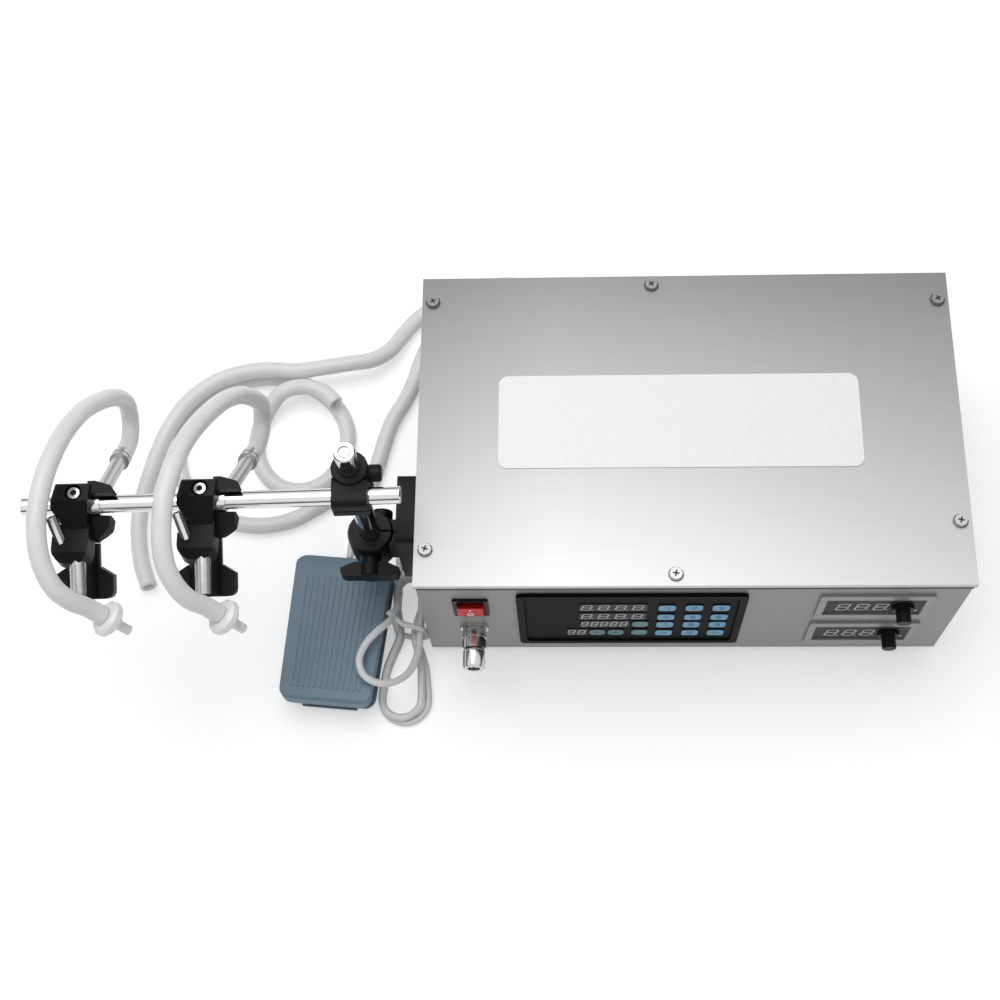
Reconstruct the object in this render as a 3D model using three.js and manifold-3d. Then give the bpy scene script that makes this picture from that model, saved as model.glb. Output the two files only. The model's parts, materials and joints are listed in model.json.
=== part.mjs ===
// Two-head bench liquid filling machine: a sheet-steel pump housing with its controls on the
// front, a side stand that carries two angled filling nozzles on a cross rod, coiled supply
// hoses on the floor behind the stand, and a foot pedal on a bundled cable.
// Millimetres, +Z up, the front faces -Y. The floor is z = 0.

import * as THREE from 'three';
import { mergeVertices } from 'three/addons/utils/BufferGeometryUtils.js';
import Module from 'manifold-3d';

const wasm = await Module();
wasm.setup();

// Clearances and general values
const gap = 0.3;            // between pieces that sit together
const runningGap = 0.4;     // between pieces that turn or slide
const overrun = 1;          // how far a cutting tool passes the face it cuts
const weld = 0.0001;        // vertices closer than this are one

// How many flat sides stand for a round
const brightSides = 20;     // polished rods and the pieces around them
const roundSides = 14;
const smallSides = 10;
const holeSides = 8;
const hexagon = 6;
const cornerSteps = 2;      // in each rounded corner
const wingCornerSteps = 4;

// Housing: a folded tray with a flat lid
const housingWidth = 380;
const housingDepth = 240;
const housingHeight = 142;
const sheet = 1.5;
const lidSheet = 1.2;
const lidLip = 5;
const trayFlange = 16;      // the tray's turned-in top edge, which the lid is screwed to
const footHeight = 10;
const footTopRadius = 11;
const footBottomRadius = 9;
const footInset = 26;
const footDimple = 3;

// Lid screws
const screwHeadRadius = 4.4;
const screwHeadHeight = 2.6;
const screwWasherRadius = 5.6;
const screwWasherHeight = 0.9;
const screwShankRadius = 1.9;
const screwShankLength = 8;
const screwInset = 8;
const leftScrewShares = [0.83, -0.78];     // of half the depth, from the middle
const rightScrewShares = [0.81, -0.62];
const backScrewShare = -0.12;              // of half the width
const frontScrewShare = -0.06;

// Rocker switch
const switchX = -153;
const switchZ = 106;
const switchWidth = 25;
const switchHeight = 32;
const switchFlange = 2;
const switchBodyDepth = 26;
const switchRim = 3;
const rockerTilt = 8;      // degrees either side of level
const rockerNose = 13;      // from the pivot to the crown of the rocker
const rockerThickness = 5;
const rockerEndGap = 1.6;
const pivotRadius = 1.4;

// Four-pin round connector
const socketX = -153;
const socketZ = 61;
const socketFlangeRadius = 10.4;
const socketFlangeDepth = 2.6;
const socketThreadRadius = 7.2;
const socketThreadLength = 7;
const socketBodyRadius = 8;
const socketBodyDepth = 12;
const socketBore = 5.4;
const socketBoreDepth = 6;
const plugBodyRadius = 6.8;
const plugBackRadius = 8.2;
const plugBackLength = 13;
const plugNoseRadius = 4.8;
const plugNoseLength = 4.5;
const plugBore = 4.6;
const plugBoreDepth = 10;
const ringRadius = 8.9;
const ringLength = 15;
const ringLip = 1.6;
const ringGrooveDepth = 0.6;
const ringGrooveWidth = 2;

// Control panel
const panelX = -40.5;
const panelZ = 81;
const panelWidth = 160;
const panelHeight = 104;
const panelRim = 4;
const panelProud = 3;
const panelCorner = 4;
const panelBack = 8;
const overlaySheet = 1.2;
const keyProud = 0.7;
const displayProud = 0.4;
const keyColumnShares = [0.316, 0.553, 0.786];   // of half the width, from the middle
const keyRowShares = [0.485, 0.105, -0.22, -0.58];  // of half the height
const keyWidth = 12.5;
const keyHeight = 13;
const smallKeyWidth = 12;
const arrowRowShares = [[-0.29, -0.56], [-0.12, -0.56], [0.095, -0.56], [0.095, -0.2]];
const wideDisplayWidth = 48;
const displayHeight = 14;
const narrowDisplayWidth = 35;
const stepDisplayWidth = 15;
const wideDisplayShares = [[-0.155, 0.5], [-0.155, 0.13]];
const narrowDisplayShare = [-0.222, -0.2];
const stepDisplayShare = [-0.47, -0.56];

// Speed meters and their knobs
const meterX = 128;
const upperMeterZ = 106;
const lowerMeterZ = 48;
const meterWidth = 78;
const meterHeight = 46;
const meterProud = 2;
const meterCorner = 2;
const meterRim = 5;
const meterWindowRecess = 1.2;
const meterBodyDepth = 42;
const meterKnobShare = 0.51;      // of half the width, from the middle
const knobFlangeRadius = 8;
const knobFlangeDepth = 3;
const knobShaftRadius = 5.2;
const knobShaftLength = 9.5;
const knobStemRadius = 2.2;
const knobStemLength = 6;

// Pumps, each a motor and a two-port head on one foot plate, with a coupling between them
const leftPumpX = -132;
const rightPumpX = -62;
const pumpAxisZ = 52;
const motorRadius = 22;
const motorLength = 66;
const saddleHalfWidth = 17.6;
const saddleInset = 13.2;
const motorBackBoss = 8;
const pumpHeadWidth = 56;
const pumpHeadHeight = 52;
const pumpHeadDepth = 30;
const pumpCorner = 6;
const couplingGap = 20;
const couplingRadius = 14;
const couplingDepth = 12;
const couplingLobes = 6;
const shaftRadius = 3;
const shaftEnd = 7;
const pumpFootThickness = 3;
const portSpacing = 28;
const portRadius = 4.5;
const portLength = 26;
const portBarbRadius = 5.4;
const portBarbCount = 1;
const portNutRadius = 8.5;
const portNutLength = 5;

// Rear fan, power inlet and cable gland
const fanX = 128;
const fanZ = 84;
const fanSize = 60;
const fanDepth = 15;
const fanRingRadius = 28.5;
const fanRotorRadius = 27;
const fanHubRadius = 13;
const fanHubDepth = 10;
const fanBladeCount = 7;
const fanBladeThickness = 1.4;
const fanBladePitch = 32;         // degrees
const fanSlotCount = 7;
const fanSlotWidth = 4.2;
const fanSlotCorner = 2;
const fanStrutWidth = 3;
const fanStrutDepth = 2.5;
const fanAxleRadius = 2;
const inletX = 52;
const inletZ = 60;
const inletWidth = 31;
const inletHeight = 48;
const inletFlange = 3;
const inletBodyDepth = 26;
const inletMouthWidth = 22;
const inletMouthHeight = 15;
const inletMouthDepth = 17;
const inletPinWidth = 2;
const inletPinHeight = 4;
const inletPinLength = 13;
const inletPinSpacing = 7;
const glandX = -172;
const glandZ = 46;
const glandNutRadius = 9.5;
const glandNutDepth = 5;
const glandDomeRadius = 8;
const glandDomeDepth = 9;
const glandDomeStraight = 5.4;
const glandThreadRadius = 6;
const glandThreadDepth = 10;

// Power supply and control board inside
const supplyX = 60;
const supplyY = 10;
const supplyWidth = 98;
const supplyDepth = 128;
const supplyHeight = 38;
const supplySlotCount = 6;
const supplySlotWidth = 3;
const boardMargin = 10;           // from the panel's edges, each side
const boardHeightMargin = 8;
const boardSheet = 1.6;
const boardStandoff = 4;
const boardPartDepth = 10;

// Stand: bracket, hub, mast, cross clamp and rod
const bracketTopZ = 125;
const bracketBottomZ = 50;
const bracketThickness = 18;
const bracketBackY = -25;
const bracketFrontY = -77;
const bracketCorner = 4;
const mastX = -229;
const mastY = -55.4;
const mastRadius = 7.5;
const mastBoreRadius = 4.6;
const mastBoreDepth = 12;
const mastTopZ = 232;
const mastBottomZ = 52;
const hubRadius = 17;
const hubTopZ = 92;
const hubBottomZ = 60;
const hubSlot = 1.4;
const hubRimStep = 3;
const hubNeckWidth = 20;
const hubKnobZ = 78;
const stemRadius = 3;
const stemHoleRadius = 3.5;
const hubBossLength = 2;
const hubBossRadius = 8;
const hubBackBossShift = 7;        // of the rear boss, sideways

const armTurn = 1.6;              // degrees that the cross arm is turned about the mast
const crossRodZ = 194;
const crossRodOffset = 15.6;      // in front of the mast's axis
const crossRodRadius = 6;
const crossRodLeft = -222.3;      // from the mast, along the arm
const crossRodRight = 33.5;
const crossRodChamfer = 0.8;
const collarRadius = 12.6;
const collarTopZ = 207;
const collarBottomZ = 168;
const collarRodWall = 5;
const collarWidth = 24;
const clampKnobZ = 196;
const clampKnobRadius = 6;
const clampKnobLength = 7;

// Wing knobs: a round hub on a threaded stem, with two wings
const wingSpan = 42;
const wingLength = 22;
const wingThickness = 8;
const hubWingThickness = 11.2;
const wingHubRadius = 8.5;
const wingCorner = 6;
const wingTaperShare = 0.55;      // of the wing's reach, at its inner end
const hubKnobHubLength = 1.5;
const hubKnobWingLength = 11;
const hubWingCorner = 4.5;
const hubKnobSpan = 43;

// Nozzle stations on the cross rod
const stationPlaces = [-183.1, -98.7];     // from the mast, along the arm
const stationSwings = [0, -2];             // degrees about the cross rod
const nozzleRolls = [1.6, 7.3];            // degrees about the nozzle's front part
const nozzleDrop = 21.5;          // degrees that the nozzle's front points below level
const nozzleBend = 61.3;          // degrees between its front part and its rear part
const nozzleRadius = 5.3;
const nozzleBore = 3.8;
const nozzleCorner = [-0.4, -20.9, -1.7];  // of the bend, from the station's rod centre
const nozzleFrontLength = 42;
const nozzleRearLength = 121;
const nozzleBendTrim = 13;
const bendSteps = 4;
const ferruleRadius = 7.3;
const ferruleLength = 10;
const ferruleGroove = 0.7;
const ferruleGrooveWidth = 1.2;

// The moulded head, its places taken from the centre of the rod where it crosses the station
const bushRadius = 7.6;
const bushSlot = 2;
const bushLeft = -12;
const bushRight = 15;
const headBottom = -12;
const headPlan = [
  [-12.3, 9.7], [10.7, 9.2], [10, -3.6], [6.6, -17.5], [-8.1, -17.9], [-15.6, -7.3],
];
const headSide = [
  [9.7, 14.5], [8.2, 16], [-3.5, 16], [-17.9, 1], [-17.9, headBottom], [4, headBottom], [9.7, -6],
];
const rearClawPlan = [[8, 2.7], [25, 2.7], [26.3, 4.4], [23.9, 8.3], [13, 11.9], [8, 11.9]];
const rearClawTop = 13;
const rearClawBottom = -4;
const frontClawPlan = [[5, -4], [21.2, -6.8], [19.4, -14], [16.5, -17.2], [12.4, -20.7], [5, -20.7]];
const frontClawSide = [[-3, 1], [-7, -1], [-20.7, -10], [-20.7, -15], [-12, -17], [-3, -12]];
const knuckleLeft = -16.4;
const knuckleRight = 8;
const knuckleBack = -14;
const knuckleFront = -40.3;
const knuckleCorner = 9;
const knuckleSide = [[-14, 1], [-34, 1], [-40.3, -4], [-40.3, -12.5], [-37, -16], [-14, -16]];
const lugThickness = 10.5;
const webPlan = [[-12, -15.5], [4, -15.5], [4, -6], [-12, -6]];
const webBottom = -27;
const knobOffset = -4.3;          // of the knob's axis, sideways from the nozzle's
const knobBelowNozzle = 29;
const knobAhead = 6;              // where the knob's hub starts, ahead of the bend
const stationHubRadius = 11.5;
const stationHubLength = 16;
const stationStemLength = 10;
const capScrewHeadRadius = 4.4;
const capScrewHeadHeight = 5;
const capScrewShankRadius = 2.4;
const capScrewSocketRadius = 2.3;
const capScrewSocketDepth = 3;
const capScrewWell = 5.8;
const capScrewWellDepth = 5.5;
const capScrewY = 2.4;
const pinRadius = 4;
const pinSocketRadius = 2.3;
const pinSocketDepth = 4;
const pinStart = [-15.8, -11.8, 9];
const pinEnd = [-10.3, -26.8, -3];

// Hoses
const hoseRadius = 6.5;
const hoseSides = 10;
const nozzleHoseSteps = 26;
const tipCapRadius = 12.3;
const tipCapLength = 8;
const tipCapRound = 2;
const tipConeRadius = 8;
const tipConeLength = 6;
const tipSpoutRadius = 3.4;
const tipSpoutLength = 8;
const tipBore = 2.2;

// The routes of the nozzle hoses, after each nozzle's own straight end
const nozzleHoseRoutes = [
  [
    [-411, 18, 102], [-411, 29.5, 106.5], [-411, 35.5, 117], [-411, 35, 127], [-411.5, 25, 152],
    [-415, 11, 173], [-418, -4, 191], [-419, -20, 207], [-421, -37, 219], [-422, -53, 228],
    [-424, -69, 232], [-426, -85, 232], [-427, -101, 229], [-426, -116, 224], [-423, -129, 217],
    [-417, -140, 208], [-409, -145, 197], [-401, -145.5, 184.5],
  ],
  [
    [-313.5, 17, 100], [-312, 28.5, 104], [-311, 35, 114.5], [-311.5, 34.5, 125], [-318, 26, 152],
    [-324, 12, 173], [-328, -4, 191], [-331, -20, 207], [-335, -36, 219], [-338, -52, 228],
    [-341, -68, 232], [-344, -84, 232], [-345, -100, 229], [-345, -115, 224], [-343, -128, 217],
    [-338, -138, 208], [-331, -144, 197], [-323, -144.5, 184.5],
  ],
];
const tipDirections = [[0.6, -0.2, -0.77], [0.6, -0.2, -0.77]];

// The coiled supply hose, and the routes of both supply hoses on the floor
const coilOuterTurn = [-329.2, 48.5, 70, 65.5];    // middle, half width and half depth
const coilInnerTurn = [-299.5, 55.8, 36.5, 43];
const coilStart = 50;             // degrees clockwise from +X, where the hose comes in
const coilEnd = 680;
const coilNarrowing = [270, 400]; // degrees over which the outer turn becomes the inner one
const coilClimb = [560, 612];     // degrees over which the end climbs onto the turn below
const coilClimbHeight = 13.6;
const coilStep = 15;              // degrees
const coilSides = 6;
const supplyHoseSides = 8;
const supplyHoseSteps = 24;
const longHoseSteps = 36;
const coiledHoseRoute = [
  [-149, 169, 46.5], [-156, 177, 37], [-166, 179, 24.5], [-178, 173, 13.5], [-189, 160.5, 7.4],
  [-199, 143, 6.6], [-206, 124, 6.6], [-211.5, 105, 6.6], [-218, 90, 6.6], [-226, 75, 6.6],
  [-232, 56, 6.6], [-237, 35, 6.6], [-244, 16, 6.6],
];
const straightHoseRoute = [
  [-119.5, 169, 48], [-125, 178, 40], [-135, 185.5, 29.5], [-149, 190, 19], [-166, 189, 11],
  [-184, 182.5, 7.2], [-201, 174.5, 6.6], [-214, 162, 6.6], [-223.5, 147, 9], [-232, 133, 14],
  [-244, 123.5, 18.5], [-262, 119.5, 20.6], [-282, 116, 20.8], [-306, 113, 20.8], [-329, 114.4, 20.8],
  [-352, 111, 20.8], [-375, 101, 20.8], [-394, 83, 20.2], [-407, 61, 18], [-414, 42, 16],
  [-419.5, 24, 12.5], [-424, 8, 8], [-425.8, -10, 6.6], [-424.3, -28.5, 6.6], [-419.9, -48.8, 6.6],
];
const straightHoseEnd = [-412.4, -68, 6.6];

// Foot pedal
const pedalX = -261;
const pedalY = -109;
const pedalTurn = -5;             // degrees about Z
const pedalWidth = 71;              // across its middle
const pedalTaper = 0.0008;          // how much wider it gets per millimetre towards the rear
const pedalDepth = 116;
const pedalCorner = 8;
const pedalBaseHeight = 12;
const pedalBaseWall = 2.5;
const pedalFrontInset = 5;         // of the base's foot behind the treadle's front
const pedalLipProud = 2;
const pedalLipWidth = 44.4;
const treadleRearZ = 29;
const treadleFrontZ = 33;
const treadleSkirt = 13;          // of the treadle's front skirt below its top
const treadleWall = 2.4;
const treadleRibCount = 13;
const treadleRibHeight = 0.7;
const treadleRibWidth = 1.8;
const treadleMargin = 9;
const pedalPinRadius = 2.2;
const pedalPinInset = 9;          // from the pedal's rear edge
const pedalPinZ = 20;
const pedalLugWidth = 5;
const pedalLugRadius = 4.5;
const springX = 0;
const springY = -18;              // from the pedal's middle
const springRadius = 6;
const springWire = 0.9;
const springTurns = 5;
const springStepsPerTurn = 8;
const springSides = 4;
const plungerSwitchY = 14;
const plungerSwitchWidth = 20;
const plungerSwitchDepth = 28;
const plungerSwitchHeight = 15;
const plungerRadius = 2;
const plungerHeight = 1.6;
const reliefRadius = 5;
const reliefLength = 8;

// Pedal cable
const cableRadius = 2.75;
const cableSides = 8;
const leadSteps = 14;
const tailSteps = 50;
const hankTop = [-205.3, -74, 11];      // middle and radius of its fold
const hankBottom = [-208, -158, 17.5];
const hankFoldDegrees = 100;      // of each loop's 360, for one fold
const hankWaistShare = 0.5;       // how much of the width the tie takes in
const hankWaistY = -108;
const hankWaistSpread = 17;
const hankPitch = 6.1;
const hankLoops = 2;
const hankStart = 50;             // degrees from the top fold
const hankClimbStart = 215;
const hankClimb = 110;
const hankNest = 2.5;             // how much smaller each loop's lower fold is than the last
const hankStepsPerLoop = 32;
const hankSides = 6;
const leadRoute = [
  [-254, -31, 7.5], [-247, -21, 3.8], [-236, -17, 2.9], [-225, -22, 2.9], [-218.5, -36, 2.9],
];
const tailRoute = [
  [-215.5, -92, 23], [-219, -105, 33.5], [-227, -115, 39.5], [-235.5, -126, 41], [-239.5, -139, 41],
  [-235, -150, 40.5], [-224, -155, 38.5], [-212.5, -152, 33], [-203.5, -143, 27], [-198, -127, 23.5],
  [-196.5, -107, 23.2], [-196.5, -86, 22.8], [-196.5, -66, 22.4], [-196.5, -48, 12.5], [-196.8, -34, 4],
  [-197.3, -8, 2.9], [-197.5, 30, 2.9], [-197.5, 70, 2.9], [-195.5, 106, 2.9], [-192, 130, 4.5],
  [-188, 147, 13], [-181.5, 157, 26], [-175.5, 160, 39],
];

const finish = {
  steel: new THREE.MeshStandardMaterial({ color: 0xb9bbbc, roughness: 0.35, metalness: 0.9 }),
  polished: new THREE.MeshStandardMaterial({ color: 0xd6d8da, roughness: 0.12, metalness: 1 }),
  chrome: new THREE.MeshStandardMaterial({ color: 0xc8cacd, roughness: 0.1, metalness: 1 }),
  black: new THREE.MeshStandardMaterial({ color: 0x141415, roughness: 0.4, metalness: 0 }),
  gloss: new THREE.MeshStandardMaterial({ color: 0x0c0d0f, roughness: 0.15, metalness: 0 }),
  rubber: new THREE.MeshStandardMaterial({ color: 0x1b1b1c, roughness: 0.85, metalness: 0 }),
  red: new THREE.MeshStandardMaterial({ color: 0xd0201c, roughness: 0.3, metalness: 0 }),
  blue: new THREE.MeshStandardMaterial({ color: 0x3aa6d8, roughness: 0.4, metalness: 0 }),
  silver: new THREE.MeshStandardMaterial({ color: 0xb4b6b9, roughness: 0.3, metalness: 0.6 }),
  pedal: new THREE.MeshStandardMaterial({ color: 0x5b7280, roughness: 0.6, metalness: 0 }),
  hose: new THREE.MeshStandardMaterial({ color: 0xe9ecec, roughness: 0.3, metalness: 0 }),
  clear: new THREE.MeshStandardMaterial({ color: 0xdfe3e3, roughness: 0.2, metalness: 0 }),
  cable: new THREE.MeshStandardMaterial({ color: 0xb3b6b5, roughness: 0.55, metalness: 0 }),
  board: new THREE.MeshStandardMaterial({ color: 0x1f6b3c, roughness: 0.5, metalness: 0 }),
};

// Vectors and frames

function vector(x, y, z) {
  return new THREE.Vector3(x, y, z);
}

const alongX = vector(1, 0, 0);
const alongY = vector(0, 1, 0);
const alongZ = vector(0, 0, 1);
const toFront = vector(0, -1, 0);

// Solids from three.js geometry

function signedVolume(points, index) {
  const a = vector(0, 0, 0);
  const b = vector(0, 0, 0);
  const c = vector(0, 0, 0);
  let sum = 0;
  for (let i = 0; i < index.length; i += 3) {
    a.fromArray(points, index[i] * 3);
    b.fromArray(points, index[i + 1] * 3);
    c.fromArray(points, index[i + 2] * 3);
    sum += a.dot(b.cross(c));
  }
  return sum;
}

function solidOf(geometry) {
  const bare = geometry.clone();
  for (const name of ['normal', 'uv']) {
    if (bare.attributes[name]) bare.deleteAttribute(name);
  }
  const merged = mergeVertices(bare, weld);
  const points = Float32Array.from(merged.attributes.position.array);
  const index = [];
  const all = merged.index.array;
  for (let i = 0; i < all.length; i += 3) {
    const [a, b, c] = [all[i], all[i + 1], all[i + 2]];
    if (a !== b && b !== c && c !== a) index.push(a, b, c);
  }
  if (signedVolume(points, index) < 0) index.reverse();
  const mesh = new wasm.Mesh({
    numProp: 3, vertProperties: points, triVerts: Uint32Array.from(index),
  });
  return new wasm.Manifold(mesh);
}

function geometryOf(solid) {
  const mesh = solid.getMesh();
  const geometry = new THREE.BufferGeometry();
  const stride = mesh.numProp;
  const points = [];
  for (let i = 0; i < mesh.vertProperties.length; i += stride) {
    points.push(mesh.vertProperties[i], mesh.vertProperties[i + 1], mesh.vertProperties[i + 2]);
  }
  geometry.setAttribute('position', new THREE.Float32BufferAttribute(points, 3));
  geometry.setIndex(Array.from(mesh.triVerts));
  geometry.computeVertexNormals();
  return geometry;
}

function join(...solids) {
  return solids.reduce((whole, next) => whole.add(next));
}

function cut(body, ...tools) {
  return tools.reduce((rest, tool) => rest.subtract(tool), body);
}

// A box between two opposite corners
function box(low, high) {
  const size = [0, 1, 2].map((i) => high[i] - low[i]);
  const geometry = new THREE.BoxGeometry(...size);
  geometry.translate(...[0, 1, 2].map((i) => (high[i] + low[i]) / 2));
  return solidOf(geometry);
}

// A geometry made along +Z, set at a point with its +Z turned to a direction
function aim(geometry, start, direction) {
  const turn = new THREE.Quaternion().setFromUnitVectors(alongZ, direction.clone().normalize());
  geometry.applyQuaternion(turn);
  geometry.translate(start.x, start.y, start.z);
  return geometry;
}

// A round bar from a point along a direction
function bar(start, direction, radius, length, sides = holeSides) {
  const geometry = new THREE.CylinderGeometry(radius, radius, length, sides);
  geometry.rotateX(Math.PI / 2);
  geometry.translate(0, 0, length / 2);
  return solidOf(aim(geometry, start, direction));
}

// A turned piece: pairs of radius and distance along the axis, from a point along a direction
function turned(start, direction, profile, sides = roundSides) {
  const points = profile.map(([radius, along]) => new THREE.Vector2(radius, along));
  const geometry = new THREE.LatheGeometry(points, sides);
  geometry.rotateX(Math.PI / 2);
  return solidOf(aim(geometry, start, direction));
}

function roundedShape(width, height, radius) {
  const shape = new THREE.Shape();
  const x = width / 2 - radius;
  const y = height / 2 - radius;
  shape.absarc(x, y, radius, 0, Math.PI / 2);
  shape.absarc(-x, y, radius, Math.PI / 2, Math.PI);
  shape.absarc(-x, -y, radius, Math.PI, 1.5 * Math.PI);
  shape.absarc(x, -y, radius, 1.5 * Math.PI, 2 * Math.PI);
  shape.closePath();
  return shape;
}

function shapeOf(points) {
  return new THREE.Shape(points.map(([x, y]) => new THREE.Vector2(x, y)));
}

// A shape drawn in X and Z, standing out towards the front from a plane at y
function frontPlate(shape, y, depth, curveSegments = cornerSteps) {
  const geometry = new THREE.ExtrudeGeometry(shape, { depth, bevelEnabled: false, curveSegments });
  geometry.applyMatrix4(new THREE.Matrix4().makeBasis(alongX, alongZ, toFront));
  geometry.translate(0, y, 0);
  return geometry;
}

// A shape drawn in Y and Z, running along +X from a plane at x
function sidePlate(shape, x, depth, curveSegments = cornerSteps) {
  const geometry = new THREE.ExtrudeGeometry(shape, { depth, bevelEnabled: false, curveSegments });
  geometry.applyMatrix4(new THREE.Matrix4().makeBasis(alongY, alongZ, alongX));
  geometry.translate(x, 0, 0);
  return geometry;
}

// A shape drawn in X and Y, standing up from a plane at z
function floorPlate(shape, z, depth, curveSegments = cornerSteps) {
  const geometry = new THREE.ExtrudeGeometry(shape, { depth, bevelEnabled: false, curveSegments });
  geometry.translate(0, 0, z);
  return geometry;
}

function roundSection(radius, sides) {
  const points = [];
  for (let i = 0; i < sides; i += 1) {
    const angle = (i / sides) * 2 * Math.PI;
    points.push(new THREE.Vector2(radius * Math.cos(angle), radius * Math.sin(angle)));
  }
  return new THREE.Shape(points);
}

// A solid tube along a smooth curve through points
function tube(points, radius, sides, steps) {
  const curve = new THREE.CatmullRomCurve3(points, false, 'centripetal');
  return new THREE.ExtrudeGeometry(roundSection(radius, sides), { steps, extrudePath: curve });
}

function vectors(route, shiftX = 0) {
  return route.map(([x, y, z]) => vector(x + shiftX, y, z));
}

// The least distance between the axes of two stretches of a wound tube that aren't neighbours
function leastGap(points, radius, skip) {
  let least = Infinity;
  for (let i = 0; i < points.length; i += 1) {
    for (let j = i + skip; j < points.length; j += 1) {
      least = Math.min(least, points[i].distanceTo(points[j]));
    }
  }
  return least - 2 * radius;
}

// Groups: the machine, and what moves as one with each joint

const machine = new THREE.Group();

function add(name, solid, material, parent = machine) {
  const geometry = solid.isBufferGeometry ? solid : geometryOf(solid);
  const mesh = new THREE.Mesh(geometry, material);
  mesh.name = name;
  parent.add(mesh);
  return mesh;
}

// Places shared by several pieces

const lidOuterX = housingWidth / 2;
const lidOuterY = housingDepth / 2;
const trayX = lidOuterX - lidSheet - gap;
const trayY = lidOuterY - lidSheet - gap;
const floorZ = footHeight + sheet;
const lidTopZ = footHeight + housingHeight;
const trayTopZ = lidTopZ - lidSheet;
const frontY = -trayY;
const backY = trayY;

const screwPlaces = [
  ...leftScrewShares.map((share) => [-lidOuterX + screwInset, share * lidOuterY]),
  ...rightScrewShares.map((share) => [lidOuterX - screwInset, share * lidOuterY]),
  [backScrewShare * lidOuterX, lidOuterY - screwInset],
  [frontScrewShare * lidOuterX, -lidOuterY + screwInset],
];

const pumpXs = [leftPumpX, rightPumpX];
const portXs = pumpXs.flatMap((x) => [x - portSpacing / 2, x + portSpacing / 2]);
const bracketX = -trayX - bracketThickness;

// Sheet-steel housing

function frontOpening(x, z, width, height) {
  return box(
    [x - width / 2, frontY - overrun, z - height / 2],
    [x + width / 2, frontY + sheet + overrun, z + height / 2],
  );
}

function buildTray() {
  const outer = box([-trayX, frontY, footHeight], [trayX, backY, trayTopZ]);
  const inner = box(
    [-trayX + sheet, frontY + sheet, floorZ],
    [trayX - sheet, backY - sheet, trayTopZ - sheet],
  );
  const mouth = box(
    [-trayX + trayFlange, frontY + trayFlange, trayTopZ - sheet - overrun],
    [trayX - trayFlange, backY - trayFlange, trayTopZ + overrun],
  );
  const holes = [
    frontOpening(switchX, switchZ, switchWidth - switchRim + gap, switchHeight - switchRim + gap),
    frontOpening(panelX, panelZ, panelWidth - 2 * panelRim, panelHeight - 2 * panelRim),
  ];
  for (const z of [upperMeterZ, lowerMeterZ]) {
    holes.push(frontOpening(meterX, z, meterWidth - meterRim + gap, meterHeight - meterRim + gap));
  }
  const through = sheet + 2 * overrun;
  const socketHole = vector(socketX, frontY - overrun, socketZ);
  holes.push(bar(socketHole, alongY, socketThreadRadius + gap, through, brightSides));
  for (const x of portXs) {
    const hole = vector(x, backY - sheet - overrun, pumpAxisZ);
    holes.push(bar(hole, alongY, portBarbRadius + runningGap, through));
  }
  const glandHole = vector(glandX, backY - sheet - overrun, glandZ);
  holes.push(bar(glandHole, alongY, glandThreadRadius + gap, through, roundSides));
  holes.push(box(
    [inletX - inletWidth / 2 + inletFlange, backY - sheet - overrun, inletZ - inletHeight / 2 + inletFlange],
    [inletX + inletWidth / 2 - inletFlange, backY + overrun, inletZ + inletHeight / 2 - inletFlange],
  ));
  const slotPitch = (2 * fanRingRadius) / fanSlotCount;
  for (let i = 0; i < fanSlotCount; i += 1) {
    const x = fanX + (i - (fanSlotCount - 1) / 2) * slotPitch;
    const reach = Math.sqrt(fanRingRadius ** 2 - (x - fanX) ** 2) - fanSlotCorner;
    holes.push(box(
      [x - fanSlotWidth / 2, backY - sheet - overrun, fanZ - reach],
      [x + fanSlotWidth / 2, backY + overrun, fanZ + reach],
    ));
  }
  for (const [x, y] of screwPlaces) {
    const hole = vector(x, y, trayTopZ - sheet - overrun);
    holes.push(bar(hole, alongZ, screwShankRadius + gap, through));
  }
  return cut(outer, inner, mouth, ...holes);
}

function buildLid() {
  const top = box([-lidOuterX, -lidOuterY, trayTopZ], [lidOuterX, lidOuterY, lidTopZ]);
  const skirt = box([-lidOuterX, -lidOuterY, trayTopZ - lidLip], [lidOuterX, lidOuterY, trayTopZ]);
  const hollow = box(
    [-lidOuterX + lidSheet, -lidOuterY + lidSheet, trayTopZ - lidLip - overrun],
    [lidOuterX - lidSheet, lidOuterY - lidSheet, trayTopZ],
  );
  return join(top, cut(skirt, hollow), ...screwPlaces.map(([x, y]) => buildLidScrew(x, y)));
}

function buildLidScrew(x, y) {
  const seat = vector(x, y, lidTopZ);
  const crown = screwWasherHeight + screwHeadHeight;
  return turned(seat, alongZ, [
    [0, -screwShankLength], [screwShankRadius, -screwShankLength], [screwShankRadius, -sheet / 2],
    [screwWasherRadius, -sheet / 2], [screwWasherRadius, screwWasherHeight],
    [screwHeadRadius, screwWasherHeight], [screwHeadRadius, crown], [0, crown],
  ], holeSides);
}

const footX = trayX - footInset;
const footY = trayY - footInset;
const footPlaces = [[-footX, -footY], [footX, -footY], [footX, footY], [-footX, footY]];

function buildFoot([x, y]) {
  return turned(vector(x, y, 0), alongZ, [
    [0, footDimple], [footBottomRadius / 2, footDimple], [footBottomRadius / 2, 0],
    [footBottomRadius, 0], [footTopRadius, footHeight], [0, footHeight],
  ], smallSides);
}

add('housing_shell', buildTray(), finish.steel);
add('top_cover', buildLid(), finish.steel);
footPlaces.forEach((place, i) => add(`foot_${i + 1}`, buildFoot(place), finish.rubber));

// Rocker switch: a flanged body with a rocker on a cross pin

const rockerPivotY = frontY - switchFlange + rockerNose - rockerThickness;

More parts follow.
